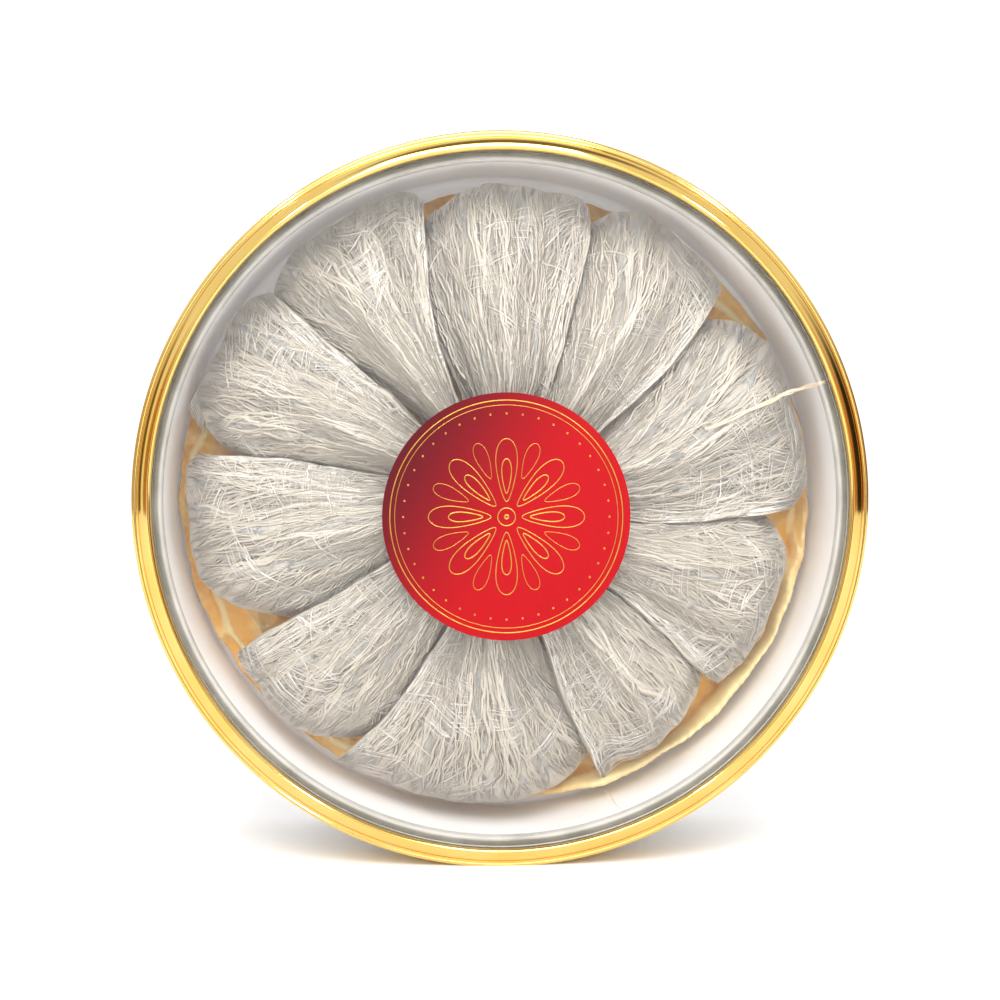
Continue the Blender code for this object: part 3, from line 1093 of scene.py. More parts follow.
@dataclass(frozen=True)
class SatinPad:
    """The foam pad under creased satin, which bunches up along the wall.

    Attributes:
        insets: Rows of an angle in degrees and how far the outline lies inside the radius there.
        creases: Rows of a crease's wavelength and height.
        gathered: The radii between which the gathers along the wall set in.
        hem_start: The angles between which the broad hem sets in, in degrees.
        hem_end: The angles between which it ends, in degrees.
        hem_width: The width of the hem along the wall.
        fold_width: The width of the meandering ridge.
        fold_inward: How far inside the outline the ridge's middle lies.
        fold_meander: How far the ridge meanders.
        off_top: The angles from the top between which the ridge sets in, in degrees.
        edge_waves: The outline's unevenness, as rows of a size, waves per radian and a phase.
        fold_waves: The ridge's meander, in the same form.
        foot_waves: The unevenness of the hem's foot.
        climb_waves: The unevenness of the hem's height.
        width_waves: The unevenness of the ridge's width.
        spacing_waves: How the gathers' spacing wanders.
    """

    radius: float = 94.2
    back: float = 57.3
    corner: float = 2.0
    sunk: float = 1.6
    ridge_height: float = 1.9
    climb: float = 12.0
    creases: tuple = ((24.0, 2.0), (16.0, 1.5), (10.5, 1.0), (7.0, 0.6), (4.6, 0.3))
    gathered: tuple = (74.0, 88.0)
    hem_start: tuple = (84.0, 118.0)
    hem_end: tuple = (160.0, 176.0)
    hem_width: float = 4.0
    fold_width: float = 2.6
    fold_inward: float = 2.3
    fold_meander: float = 1.1
    off_top: tuple = (20.0, 34.0)
    edge_waves: tuple = ((0.25, 19, 0.0), (0.15, 43, 1.0))
    fold_waves: tuple = ((1.0, 9, 0.4), (0.6, 23, 1.0))
    foot_waves: tuple = ((0.6, 13, 0.0), (0.3, 47, 0.0))
    climb_waves: tuple = ((0.6, 14, 0.0),)
    width_waves: tuple = ((0.3, 31, 0.0),)
    spacing_waves: tuple = ((1.4, 5, 1.0), (0.9, 11, 2.0))
    insets: tuple = (
        (0, 4.0), (30, 3.4), (60, 1.2), (90, 0.8), (112, 2.4), (160, 3.4), (185, 3.0), (225, 2.4), (255, 0.3),
        (290, 0.0), (296, 2.0), (303, 8.6), (337, 9.0), (349, 4.4), (360, 4.0),
    )
    rows: int = 150
    columns: int = 720
    seed: int = 11

    def outline(self, angle: np.ndarray) -> np.ndarray:
        """The pad's outer radius: the full one less the inset, which is widest at the upper left."""
        stations, insets = np.array(self.insets, dtype=float).T
        inset = np.interp(np.degrees(angle), stations, insets)
        return self.radius - 0.4 - inset + ripples(self.edge_waves, angle)

    def hem(self, radius: np.ndarray, angle: np.ndarray) -> tuple[np.ndarray, np.ndarray]:
        """The hem along the wall: its height over the satin, and how much of a place it covers.

        At the lower right the hem rolls up the wall: at t from 0 at its foot to 1 at the outline
        its height is the climb times sin(0.62 * pi * t) to the power 0.8. Elsewhere, except at the
        top, a thin ridge meanders between the nests and the wall, with a height of sin(pi * t) to
        the power 0.6. Small pleats run across both.

        Args:
            radius: Distances from the axis.
            angle: Clockwise angles from the top.

        Returns:
            Heights in millimetres, and shares from 0 to 1.
        """
        degrees = np.degrees(angle)
        broad = smooth_step(*self.hem_start, degrees) * (1.0 - smooth_step(*self.hem_end, degrees))
        pleats = 0.2 * np.sin(angle * 190 + 2.0 * np.sin(angle * 17)) + 0.14 * np.sin(angle * 333 + radius)
        edge = self.outline(angle)
        foot = edge - self.hem_width + ripples(self.foot_waves, angle)
        rise = np.clip((radius - foot) / (edge - foot), 0.0, 1.0)
        climb = self.climb + ripples(self.climb_waves, angle) + 2.0 * pleats
        flap = broad * np.sin(0.62 * math.pi * rise) ** 0.8 * climb
        width = self.fold_width + ripples(self.width_waves, angle)
        middle = edge - self.fold_inward - self.fold_meander * ripples(self.fold_waves, angle)
        share = np.clip((radius - middle + width) / width, 0.0, 1.0)
        off_top = smooth_step(*self.off_top, np.abs((degrees + 180.0) % 360.0 - 180.0))
        roll = np.sin(math.pi * share) ** 0.6 * (1.0 - broad) * off_top
        covered = np.maximum(roll, broad * smooth_step(0.06, 0.3, rise))
        return flap + roll * (self.ridge_height + pleats), covered

    def height(self, radius: np.ndarray, angle: np.ndarray) -> tuple[np.ndarray, np.ndarray]:
        """Height of the satin over the pad's edge, and how much painted highlight it gets.

        The crown, plus creases, plus gathers along the wall, plus the hem, less what it sinks in. A crease is 1 less
        |sin| to the power 0.7 of a plane wave that a slower wave bends. The gathers are a sine of the angle whose
        spacing wanders. The hem and the crests of the creases get a painted highlight.

        Args:
            radius: Distances from the axis.
            angle: Clockwise angles from the top.

        Returns:
            Heights in millimetres, and shares of painted highlight from 0 to 1.
        """
        draw = np.random.default_rng(self.seed)
        x, z = radius * np.sin(angle), radius * np.cos(angle)
        bend = Waves((31.0, 19.0, 12.0), (3.0, 2.0, 1.2)).over(x, z, draw)
        creases = np.zeros_like(x)
        for length, size in self.creases:
            heading, phase = draw.uniform(0.0, FULL_TURN, 2)
            travel = x * math.cos(heading) + z * math.sin(heading) + bend
            creases += size * (1.0 - np.abs(np.sin(math.pi * travel / length + phase)) ** 0.7)
        at_wall = smooth_step(*self.gathered, radius)
        spacing = angle * 30 + ripples(self.spacing_waves, angle)
        gathers = at_wall * (0.6 * np.sin(spacing) + 0.4 * np.sin(2.3 * spacing + radius / 3.0))
        hem, covered = self.hem(radius, angle)
        slack = (0.2 + 0.8 * smooth_step(62.0, 82.0, radius)) * (1.0 - 0.8 * covered)
        height = MOUND.pad_crown(radius) + slack * creases + gathers * (1.0 - covered) + hem - self.sunk
        # Painted highlight on the hem and on the crests of the creases.
        pale = 0.9 * covered + 0.2 * (creases - 1.0) * slack
        return height, np.clip(pale, 0.0, 1.0)

    def build(self) -> bpy.types.Object:
        """Builds the pad as one closed body: the creased front, a plain side and a flat back."""
        angle = np.arange(self.columns)[None] * FULL_TURN / self.columns
        outline = self.outline(angle)
        share = np.linspace(0.0, 1.0, self.rows)[:, None] ** 0.6
        radius = 1.0 + (outline - 1.0) * share
        height, tone = self.height(radius, angle)
        front = BOX.place(radius, angle, MOUND.pad_top - height)
        side_radius = np.concatenate([outline, outline - self.corner, np.ones_like(outline)])
        side_depth = np.array([self.back - self.corner, self.back, self.back])[:, None]
        rest = BOX.place(side_radius, angle, side_depth)
        rings = np.concatenate([front, rest]).reshape(-1, 3)
        middle = height[0].mean()
        poles = BOX.place(np.zeros(2), 0.0, np.array([MOUND.pad_top - middle, self.back]))
        points = np.concatenate([rings, poles])
        tones = np.concatenate([tone.ravel(), np.zeros(3 * self.columns + 2)])
        first = np.arange(self.columns)
        fans = pole_fans(first, (self.rows + 2) * self.columns + first, len(rings))
        quads = grid_quads(self.rows + 3, self.columns, wrap_columns=True)
        whole = Surface(points, quads, fans, tone=tones).faced_outwards()
        made = whole.piece("creased_satin_pad", [GoldSatin().material()], "satin_pad", "gold_satin")
        return made


class StrandKind(Enum):
    """How a family of strands lies on a nest."""

    WEB = "long strands that fan out from the inner end, and gather and part"
    WISP = "hair-fine strands that run with the web, over it"
    BAND = "fine strands side by side along the upper edge"
    LINK = "short strands that slant from one lock to the next"
    HAIR = "glossy hairs in small sheaves that lie across the web"


@dataclass(frozen=True)
class StrandFamily:
    """How many strands of a kind a nest has, and how thick and how deep they lie.

    Attributes:
        kind: How the strands lie.
        count: How many there are.
        steps: Points along each strand.
        half_width: Half of a strand's usual width.
        half_height: Half of a strand's usual height.
        below: The shallowest and the deepest place under the nest's front.
        tone: The usual brightness, lower in the web's deeper layers as painted shade.
    """

    kind: StrandKind
    count: int
    steps: int
    half_width: float
    half_height: float
    below: tuple[float, float]
    tone: float

    @property
    def step(self) -> np.ndarray:
        """Even shares of the way along a strand, as one row."""
        return np.linspace(0.0, 1.0, self.steps)[None]

    def between(self, share: np.ndarray) -> np.ndarray:
        """Depths from the shallowest place at a share of 0 to the deepest at 1."""
        return self.below[0] + (self.below[1] - self.below[0]) * share


# The web's three layers get lower tones the deeper they lie: painted shade.
FAMILIES = (
    StrandFamily(StrandKind.WEB, 84, 44, 0.36, 0.07, (0.05, 0.22), 0.9),
    StrandFamily(StrandKind.WEB, 78, 36, 0.36, 0.07, (0.2, 0.38), 0.8),
    StrandFamily(StrandKind.WEB, 56, 24, 0.4, 0.08, (0.36, 0.56), 0.7),
    StrandFamily(StrandKind.WISP, 90, 12, 0.1, 0.06, (-0.1, 0.2), 0.95),
    StrandFamily(StrandKind.BAND, 60, 26, 0.22, 0.12, (0.0, 1.3), 0.95),
    StrandFamily(StrandKind.LINK, 150, 7, 0.18, 0.1, (0.05, 0.5), 0.85),
    StrandFamily(StrandKind.HAIR, 168, 6, 0.1, 0.07, (-0.35, 0.05), 1.0),
)


@dataclass(frozen=True)
class LockField:
    """Slow waves that gather strands into locks and part them into lens-shaped gaps.

    Attributes:
        across: Wavelengths across the strands, in millimetres.
        along: How far along the strands each wave takes to slip by one wavelength.
        pull: How strongly each wave gathers. Strands would touch at 1.
        rise: How much higher a lock's middle lies, as a share of the sideways shift.
        bend: How far a slower wave bends the others, in radians.
    """

    across: tuple[float, ...] = (2.6, 3.7, 5.1, 7.3, 12.0)
    along: tuple[float, ...] = (15.0, 21.0, 30.0, 44.0, 80.0)
    pull: tuple[float, ...] = (0.5, 0.6, 0.55, 0.4, 0.3)
    rise: float = 0.34
    bend: float = 0.9

    def shift(self, side: np.ndarray, travel: np.ndarray, seed: int) -> tuple[np.ndarray, np.ndarray]:
        """How far the locks move a place sideways, and how far they raise it.

        Each wave's phase is a turn times (side / wavelength + travel / slip), bent by a slower
        wave. The shift is the sum of pull * wavelength / turn * sin(phase), and the rise is the
        same with minus the cosine, so that it is greatest where strands gather.
        """
        draw = np.random.default_rng(seed)
        sideways, upwards = np.zeros_like(side), np.zeros_like(side)
        for across, along, pull in zip(self.across, self.along, self.pull):
            slip = along * draw.uniform(0.8, 1.25) * draw.choice([-1.0, 1.0])
            start, slow = draw.uniform(0.0, FULL_TURN, 2)
            slower = self.bend * np.sin(travel / 9.0 + side / 4.0 + slow)
            phase = FULL_TURN * (side / across + travel / slip) + start + slower
            size = pull * across / FULL_TURN
            sideways = sideways + size * np.sin(phase)
            upwards = upwards - self.rise * size * np.cos(phase)
        return sideways, upwards


LOCKS = LockField()


@dataclass(frozen=True)
class Nest:
    """One nest: an arched shell of film under a web of strands.

    Attributes:
        number: The nest's number, from 1, clockwise from the top.
        lower: The previous nest's upper edge, in degrees near the label and at the wall.
        upper: This nest's upper edge, in degrees near the label and at the wall.
        reach: The radius of its outer end.
        lean: How far the strands lean towards the upper edge at the inner end, as a share.
        corner_cut: How far the hidden outer corner is cut back.
        corner_share: The share of the width over which it is cut back.
        parting: How far the hidden edge opens near the label, in degrees.
        tip_share: The share of the width over which the upper outer corner is cut back.
        tip_cut: How far that corner is cut back, or how far it sticks out where this is negative.
        ragged: The outer end's unevenness, as rows of a size, waves over the width, and a phase per number.
        rippled: The upper edge's unevenness, as rows of a size, a length and a phase per number.
        link_length: The shortest and the longest link.
        link_slant: The smallest and the largest angle between a link and the web, in degrees.
        hair_length: The shortest and the longest sheaf of hairs.
        hair_slant: The usual angle between a sheaf and the web, and its spread, in degrees.
        hair_gap: The narrowest and the widest gap between the hairs of a sheaf.
        wisp_length: The shortest and the longest wisp.
        wisp_slant: The spread of the angle between a wisp and the web, in degrees.
        band_width: How wide the band along the upper edge is.
        band_crowding: The power by which its strands crowd towards the edge.
        link_bow: The spread of a link's bow.
        hair_bow: The spread of a hair's bow.
        end_sink: How far the web's strands sink at the outer end.
        end_start: The share along the nest from which they sink.
        web_sway: How the web's strands wander sideways.
        web_sink: How they wander in depth.
        wisp_sway: How the wisps wander sideways.
        band_sway: How the band's strands wander.
        uneven: How a strand's thickness varies along it.

    The sizes that are set here are the same for every nest.
    """

    number: int
    lower: tuple[float, float]
    upper: tuple[float, float]
    reach: float
    lean: float
    corner_cut: float
    corner_share: float
    parting: float
    tip_share: float
    tip_cut: float
    inner_radius: float = 13.0
    edge_near: float = 33.0
    edge_far: float = 92.0
    overlap: float = 5.4
    under_edge: float = 6.2
    over_edge: float = 10.9
    arch_height: float = 11.0
    arch_radius: float = 50.0
    arch_reach: float = 44.0
    end_curl: float = 5.0
    curl_start: float = 0.88
    edge_thickness: float = 2.2
    middle_thickness: float = 4.4
    ridge_height: float = 1.3
    ridge_count: float = 3.0
    film_edge: float = 0.5
    film_below: float = 0.62
    film_relief: float = 1.4
    film_margin: float = 0.06
    ragged: tuple = ((0.6, 13.0, 1.0), (0.25, 37.0, 2.0))
    rippled: tuple = ((0.3, 6.1, 2.1), (0.12, 2.4, 1.0))
    link_length: tuple = (5.0, 14.0)
    link_slant: tuple = (7, 24)
    hair_length: tuple = (7.0, 22.0)
    hair_slant: tuple = (80.0, 28.0)
    hair_gap: tuple = (0.5, 1.3)
    wisp_length: tuple = (14.0, 42.0)
    wisp_slant: float = 5.0
    band_width: float = 6.0
    band_crowding: float = 1.8
    link_bow: float = 0.4
    hair_bow: float = 0.12
    end_sink: float = 0.5
    end_start: float = 0.86
    web_sway: Waves = Waves((34.0, 13.0, 6.0), (0.5, 0.3, 0.13))
    web_sink: Waves = Waves((26.0, 11.0), (0.3, 0.14))
    wisp_sway: Waves = Waves((21.0, 8.0), (0.35, 0.1))
    band_sway: Waves = Waves((32.0, 12.0), (0.4, 0.15))
    uneven: Waves = Waves((0.6, 0.23), (0.18, 0.12))
    film_rows: int = 64
    film_columns: int = 48

    def edges(self, radius: np.ndarray) -> tuple[np.ndarray, np.ndarray]:
        """The angles of the hidden lower edge and of the upper edge, straight between their ends."""
        share = np.clip((radius - self.edge_near) / (self.edge_far - self.edge_near), 0.0, 1.0)
        open_near = self.parting * (1.0 - share) ** 2
        low = self.lower[0] + (self.lower[1] - self.lower[0]) * share - self.overlap + open_near
        high = self.upper[0] + (self.upper[1] - self.upper[0]) * share
        ripple = ripples([(size, 1 / length, phase * self.number) for size, length, phase in self.rippled], radius)
        return np.radians(low), np.radians(high) + ripple / np.maximum(radius, self.inner_radius)

    def surface(self, along: np.ndarray, across: np.ndarray, below: np.ndarray) -> np.ndarray:
        """Points of the nest's front, or of a layer under it.

        The radius runs from the inner end to a ragged reach that is cut back at both outer
        corners. The height over the pad is the mound, plus a tilt that lifts the upper edge over
        the next nest, plus an arch with low ridges, less a curl at the outer end.

        Args:
            along: Shares from the inner end to the outer end.
            across: Shares from the lower edge to the upper edge.
            below: Millimetres under the front.

        Returns:
            Points in metres.
        """
        reach = self.reach - self.corner_cut * np.maximum(0.0, 1.0 - across / self.corner_share) ** 2
        reach = reach - self.tip_cut * np.maximum(0.0, (across - 1.0 + self.tip_share) / self.tip_share) ** 2
        reach = reach + ripples([(size, waves, phase * self.number) for size, waves, phase in self.ragged], across)
        radius = self.inner_radius + (reach - self.inner_radius) * along
        lower, upper = self.edges(radius)
        angle = lower + (upper - lower) * across
        swell = np.maximum(0.0, 1.0 - ((radius - self.arch_radius) / self.arch_reach) ** 4)
        bump = np.sin(math.pi * np.clip(across, 0.0, 1.0)) ** 2
        tilt = self.under_edge + (self.over_edge - self.under_edge) * across
        wander = 0.12 * np.sin(4.0 * along + self.number - 1)
        ridge = np.cos(FULL_TURN * self.ridge_count * (across + wander) + 2.0 * (self.number - 1))
        curl = self.end_curl * smooth_step(self.curl_start, 1.0, along)
        arch = (self.arch_height + self.ridge_height * ridge) * swell * bump
        height = MOUND.over_pad(radius, angle) + tilt + arch - curl - below
        return BOX.place(radius, angle, MOUND.pad_top - height)

    def width(self, along: np.ndarray) -> np.ndarray:
        """The nest's width at a share along it, in millimetres."""
        radius = self.inner_radius + self.length * along
        lower, upper = self.edges(radius)
        return (upper - lower) * radius

    @property
    def length(self) -> float:
        """The nest's length along its middle, in millimetres."""
        return self.reach - self.inner_radius

    @property
    def lock_seed(self) -> int:
        """The seed of this nest's locks, which its film and all its strands share."""
        return 100 * self.number

    @property
    def full_width(self) -> float:
        """The nest's width two thirds of the way out, on which the locks' sizes count."""
        return float(self.width(np.array(0.66)))

    def film(self) -> Surface:
        """The closed shell of fused strands: a front that rises with the locks, and a hollow inner side.

        Its edge lies film_edge under the nest's front. Beyond the margin it lies film_below under it,
        less the locks' rise times film_relief.
        """
        along = np.linspace(0.0, 0.992, self.film_rows)[:, None]
        across = np.linspace(0.012, 0.988, self.film_columns)[None]
        along, across = np.broadcast_arrays(along, across)
        travel = self.length * along
        _, rise = LOCKS.shift(across * self.full_width, travel, self.lock_seed)
        body = np.sin(math.pi * across) * np.sin(math.pi * along)
        thickness = self.edge_thickness + (self.middle_thickness - self.edge_thickness) * body
        inward = np.minimum(1.0, np.minimum(across, 1.0 - across) / self.film_margin)
        sink = self.film_below - self.film_edge - self.film_relief * rise
        front = self.surface(along, across, self.film_edge + sink * inward)
        back = self.surface(along, across, thickness)
        count = self.film_rows * self.film_columns
        sheet = grid_quads(self.film_rows, self.film_columns)
        loop = self.border()
        following = np.roll(loop, -1)
        rim = np.stack([loop, following, following + count, loop + count], axis=1)
        quads = np.concatenate([sheet[:, ::-1], sheet + count, rim])
        points = np.concatenate([front.reshape(-1, 3), back.reshape(-1, 3)])
        flow = np.stack([travel.ravel(), (self.width(along) * across).ravel()], axis=1)
        shell = Surface(points, quads, tone=np.full(2 * count, 0.3), flow=np.concatenate([flow, flow]))
        return shell.faced_outwards()

    def border(self) -> np.ndarray:
        """Point numbers round the film grid's border, in order."""
        number = np.arange(self.film_rows * self.film_columns).reshape(self.film_rows, self.film_columns)
        return np.concatenate([number[0, :-1], number[:-1, -1], number[-1, :0:-1], number[:0:-1, 0]])

    def leaned(self, share: np.ndarray, along: np.ndarray) -> np.ndarray:
        """Where a strand lies across the nest: it starts nearer the upper edge by the lean, and fans out."""
        start = self.lean + (1.0 - self.lean) * share
        return start + (share - start) * along ** 0.8

    def web(self, family: StrandFamily, draw: np.random.Generator) -> tuple[np.ndarray, np.ndarray, np.ndarray]:
        """Where a layer of the web runs: fanned lines, moved by the locks and by a wandering of their own.

        Args:
            family: The layer.
            draw: The seeded random source.

        Returns:
            Shares along, shares across and millimetres below the front, by strand and by step.
        """
        count = family.count
        share = (np.arange(count)[:, None] + draw.uniform(0.1, 0.9, (count, 1))) / count
        first, last = draw.uniform(0.0, 0.06, (count, 1)), draw.uniform(0.955, 0.992, (count, 1))
        along = first + (last - first) * family.step
        travel = along * self.length
        sideways, rise = LOCKS.shift(share * self.full_width + 0 * travel, travel, self.lock_seed)
        own = self.web_sway.along(travel, draw)
        across = self.leaned(share, along) + (sideways + own) / self.full_width
        below = family.between(draw.uniform(0, 1, (count, 1))) - rise
        sink = self.web_sink.along(travel, draw) + self.end_sink * smooth_step(self.end_start, 1.0, along)
        return along, np.clip(across, 0.004, 0.996), np.maximum(below + sink, -0.1)

    def wisps(self, family: StrandFamily, draw: np.random.Generator) -> tuple[np.ndarray, np.ndarray, np.ndarray]:
        """Where the wisps run: parts of fanned lines that drift aside by a few degrees."""
        count, step = family.count, family.step
        share = draw.uniform(0.02, 0.98, (count, 1))
        size = draw.uniform(*self.wisp_length, (count, 1)) / self.length
        start = draw.uniform(0.15, 1.0, (count, 1)) * (1.0 - size)
        along = start + size * step
        slant = np.radians(draw.normal(0.0, self.wisp_slant, (count, 1)))
        drift = (step - 0.5) * size * self.length * np.tan(slant)
        sway = self.wisp_sway.along(along * self.length, draw)
        across = self.leaned(share, along) + (drift + sway) / self.full_width
        _, rise = LOCKS.shift(across * self.full_width, along * self.length, self.lock_seed)
        below = draw.uniform(*family.below, (count, 1)) - 0.7 * rise
        return np.clip(along, 0.0, 0.995), np.clip(across, 0.01, 0.99), below

    def band(self, family: StrandFamily, draw: np.random.Generator) -> tuple[np.ndarray, np.ndarray, np.ndarray]:
        """Where the upper edge's band runs: lines at small distances from the edge, crowded towards it."""
        count = family.count
        first, last = draw.uniform(0.0, 0.3, (count, 1)), draw.uniform(0.9, 1.0, (count, 1))
        along = first + (last - first) * family.step
        depth = draw.uniform(0.0, 1.0, (count, 1))
        crowded = draw.uniform(0.0, 1.0, (count, 1)) ** self.band_crowding
        inward = crowded * self.band_width * (1.0 - 0.6 * depth)
        sway = self.band_sway.along(along * self.length, draw)
        across = 1.0 - np.maximum(0.1, inward + sway) / self.width(along)
        return along, across, family.between(depth) + 0 * along

    def short(self, family: StrandFamily, draw: np.random.Generator) -> tuple[np.ndarray, np.ndarray, np.ndarray]:
        """Where the links and the hairs run: a heading and a length from a start, with a slight bow.

        Along grows by length times cos(heading), and across by length times sin(heading) over the
        nest's width. A sheaf's hairs share a heading and lie side by side.
        """
        count, step = family.count, family.step
        if family.kind is StrandKind.LINK:
            size = draw.uniform(*self.link_length, (count, 1))
            heading = np.radians(draw.uniform(*self.link_slant, (count, 1))) * draw.choice([-1.0, 1.0], (count, 1))
            start, side = draw.uniform(0.15, 0.95, (count, 1)), draw.uniform(0.03, 0.97, (count, 1))
            bow = draw.normal(0.0, self.link_bow, (count, 1))
        else:
            sheaf = np.arange(count) // SHEAF
            sheaves = sheaf[-1] + 1
            gap = draw.uniform(*self.hair_gap, (sheaves, 1))[sheaf]
            place = (np.arange(count) % SHEAF - SHEAF / 2)[:, None] * gap
            place = place + draw.normal(0.0, 0.25, (count, 1))
            size = draw.uniform(*self.hair_length, (sheaves, 1))[sheaf] * draw.uniform(0.4, 1.1, (count, 1))
            slant = draw.normal(*self.hair_slant, (sheaves, 1))[sheaf] + draw.normal(0.0, 2.5, (count, 1))
            heading = np.radians(slant)
            middle = draw.beta(2.2, 1.2, (sheaves, 1))[sheaf]
            start = 0.22 + 0.74 * middle + (place * np.sin(heading) + draw.normal(0.0, 1.5, (count, 1))) / self.length
            edge = 1.0 - np.abs(draw.normal(0.0, 0.36, (sheaves, 1)))[sheaf]
            side = edge - place * np.cos(heading) / self.full_width
            bow = draw.normal(0.0, self.hair_bow, (count, 1))
        curve = bow * np.sin(math.pi * step)
        along = start + ((step - 0.5) * size * np.cos(heading) + curve * np.sin(heading)) / self.length
        width = self.width(np.clip(along, 0.0, 1.0))
        across = side + ((step - 0.5) * size * np.sin(heading) - curve * np.cos(heading)) / width
        below = draw.uniform(*family.below, (count, 1)) + 0 * step
        return np.clip(along, 0.0, 0.995), np.clip(across, 0.01, 0.998), below

    def strands(self, family: StrandFamily) -> Surface:
        """Builds one family's tubes, thinner at both ends and uneven along the way."""
        ways = {StrandKind.WEB: self.web, StrandKind.WISP: self.wisps, StrandKind.BAND: self.band}
        draw = np.random.default_rng(1000 * self.number + 37 * family.steps + family.count)
        along, across, below = ways.get(family.kind, self.short)(family, draw)
        lines = self.surface(along, across, below + family.half_height)
        taper = 0.35 + 0.65 * np.minimum(1.0, np.minimum(family.step, 1.0 - family.step) * 8)
        uneven = 1.0 + self.uneven.along(family.step + np.zeros((family.count, 1)), draw)
        size = draw.lognormal(0.0, 0.3, (family.count, 1)) * taper * uneven
        web = tubes(lines, family.half_width * size, family.half_height * size)
        # Each strand's brightness varies at random, less 0.12 for each millimetre it lies below the front: painted
        # shade.
        tone = np.clip(family.tone + draw.normal(0.0, 0.14, (family.count, 1)) - 0.12 * below, 0.0, 1.0)
        web.tone = np.repeat(tone.ravel(), SECTION)
        places = np.stack([along * self.length, across * self.width(along)], axis=-1)
        web.flow = np.repeat(places.reshape(-1, 2), SECTION, axis=0)
        return web

    def build(self, finishes: list[bpy.types.Material]) -> bpy.types.Object:
        """Builds the nest as one piece, from the finishes of its film, its strands and its hairs."""
        whole, source = joined(self.film(), *(self.strands(family) for family in FAMILIES))
        # The band and the hairs get the lighter glassy finish, which partly paints a glint on them.
        glossy = (StrandKind.BAND, StrandKind.HAIR)
        hairy = np.array([0] + [2 if family.kind in glossy else 1 for family in FAMILIES])
        name = f"nest_{self.number:02d}"
        return whole.piece(f"{name}_strands", finishes, name, "nest_strands", hairy[source])


@dataclass(frozen=True)
class NestRing:
    """The ten nests. Each nest's upper edge lies over the next nest.

    Attributes:
        upper_edges: Each nest's upper edge, in degrees near the label and at the wall.
        reaches: The radius of each nest's outer end.
        leans: How far each nest's strands lean.
        corner_cuts: How far each nest's hidden outer corner is cut back.
        corner_shares: The share of each nest's width over which it is cut back.
        partings: How far each nest's hidden edge opens near the label, in degrees.
        tip_shares: The share of each nest's width over which its upper outer corner is cut back.
        tip_cuts: How far that corner is cut back. It sticks out where this is negative.
    """

    upper_edges: tuple[tuple[float, float], ...] = (
        (24.0, 17.0), (56.0, 46.5), (100.0, 91.0), (128.0, 131.3), (163.4, 159.8),
        (201.3, 211.8), (240.3, 239.6), (282.0, 278.3), (313.0, 312.0), (336.0, 346.6),
    )
    reaches: tuple[float, ...] = (89.4, 91.3, 90.0, 86.4, 86.2, 90.9, 90.2, 90.5, 92.0, 92.2)
    leans: tuple[float, ...] = (0.1, 0.35, 0.3, 0.15, 0.1, 0.4, 0.3, 0.35, 0.4, 0.3)
    corner_cuts: tuple[float, ...] = (16.0, 18.0, 18.0, 18.0, 13.0, 18.0, 20.0, 34.0, 26.0, 9.0)
    corner_shares: tuple[float, ...] = (0.45, 0.45, 0.45, 0.45, 0.7, 0.45, 0.5, 0.6, 0.5, 0.45)
    partings: tuple[float, ...] = (8.5, 0.0, 4.0, 0.0, 0.0, 9.0, 0.0, 0.0, 0.0, 8.0)
    tip_shares: tuple[float, ...] = (0.1, 0.4, 0.1, 0.1, 0.16, 0.1, 0.1, 0.1, 0.2, 0.1)
    tip_cuts: tuple[float, ...] = (4.0, 4.0, 4.0, 2.0, -4.6, -1.0, 2.0, 4.0, 4.0, 4.0)

    def build(self) -> None:
        """Builds every nest, with one set of materials for them all."""
        finishes = [StrandFilm().material(), DriedStrand().material(), GlassyHair().material()]
        sizes = zip(
            self.upper_edges, self.reaches, self.leans, self.corner_cuts, self.corner_shares, self.partings,
            self.tip_shares, self.tip_cuts,
        )
        for index, (upper, *rest) in enumerate(sizes):
            near, far = self.upper_edges[index - 1]
            if index == 0:
                near, far = near - 360.0, far - 360.0
            Nest(index + 1, (near, far), upper, *rest).build(finishes)


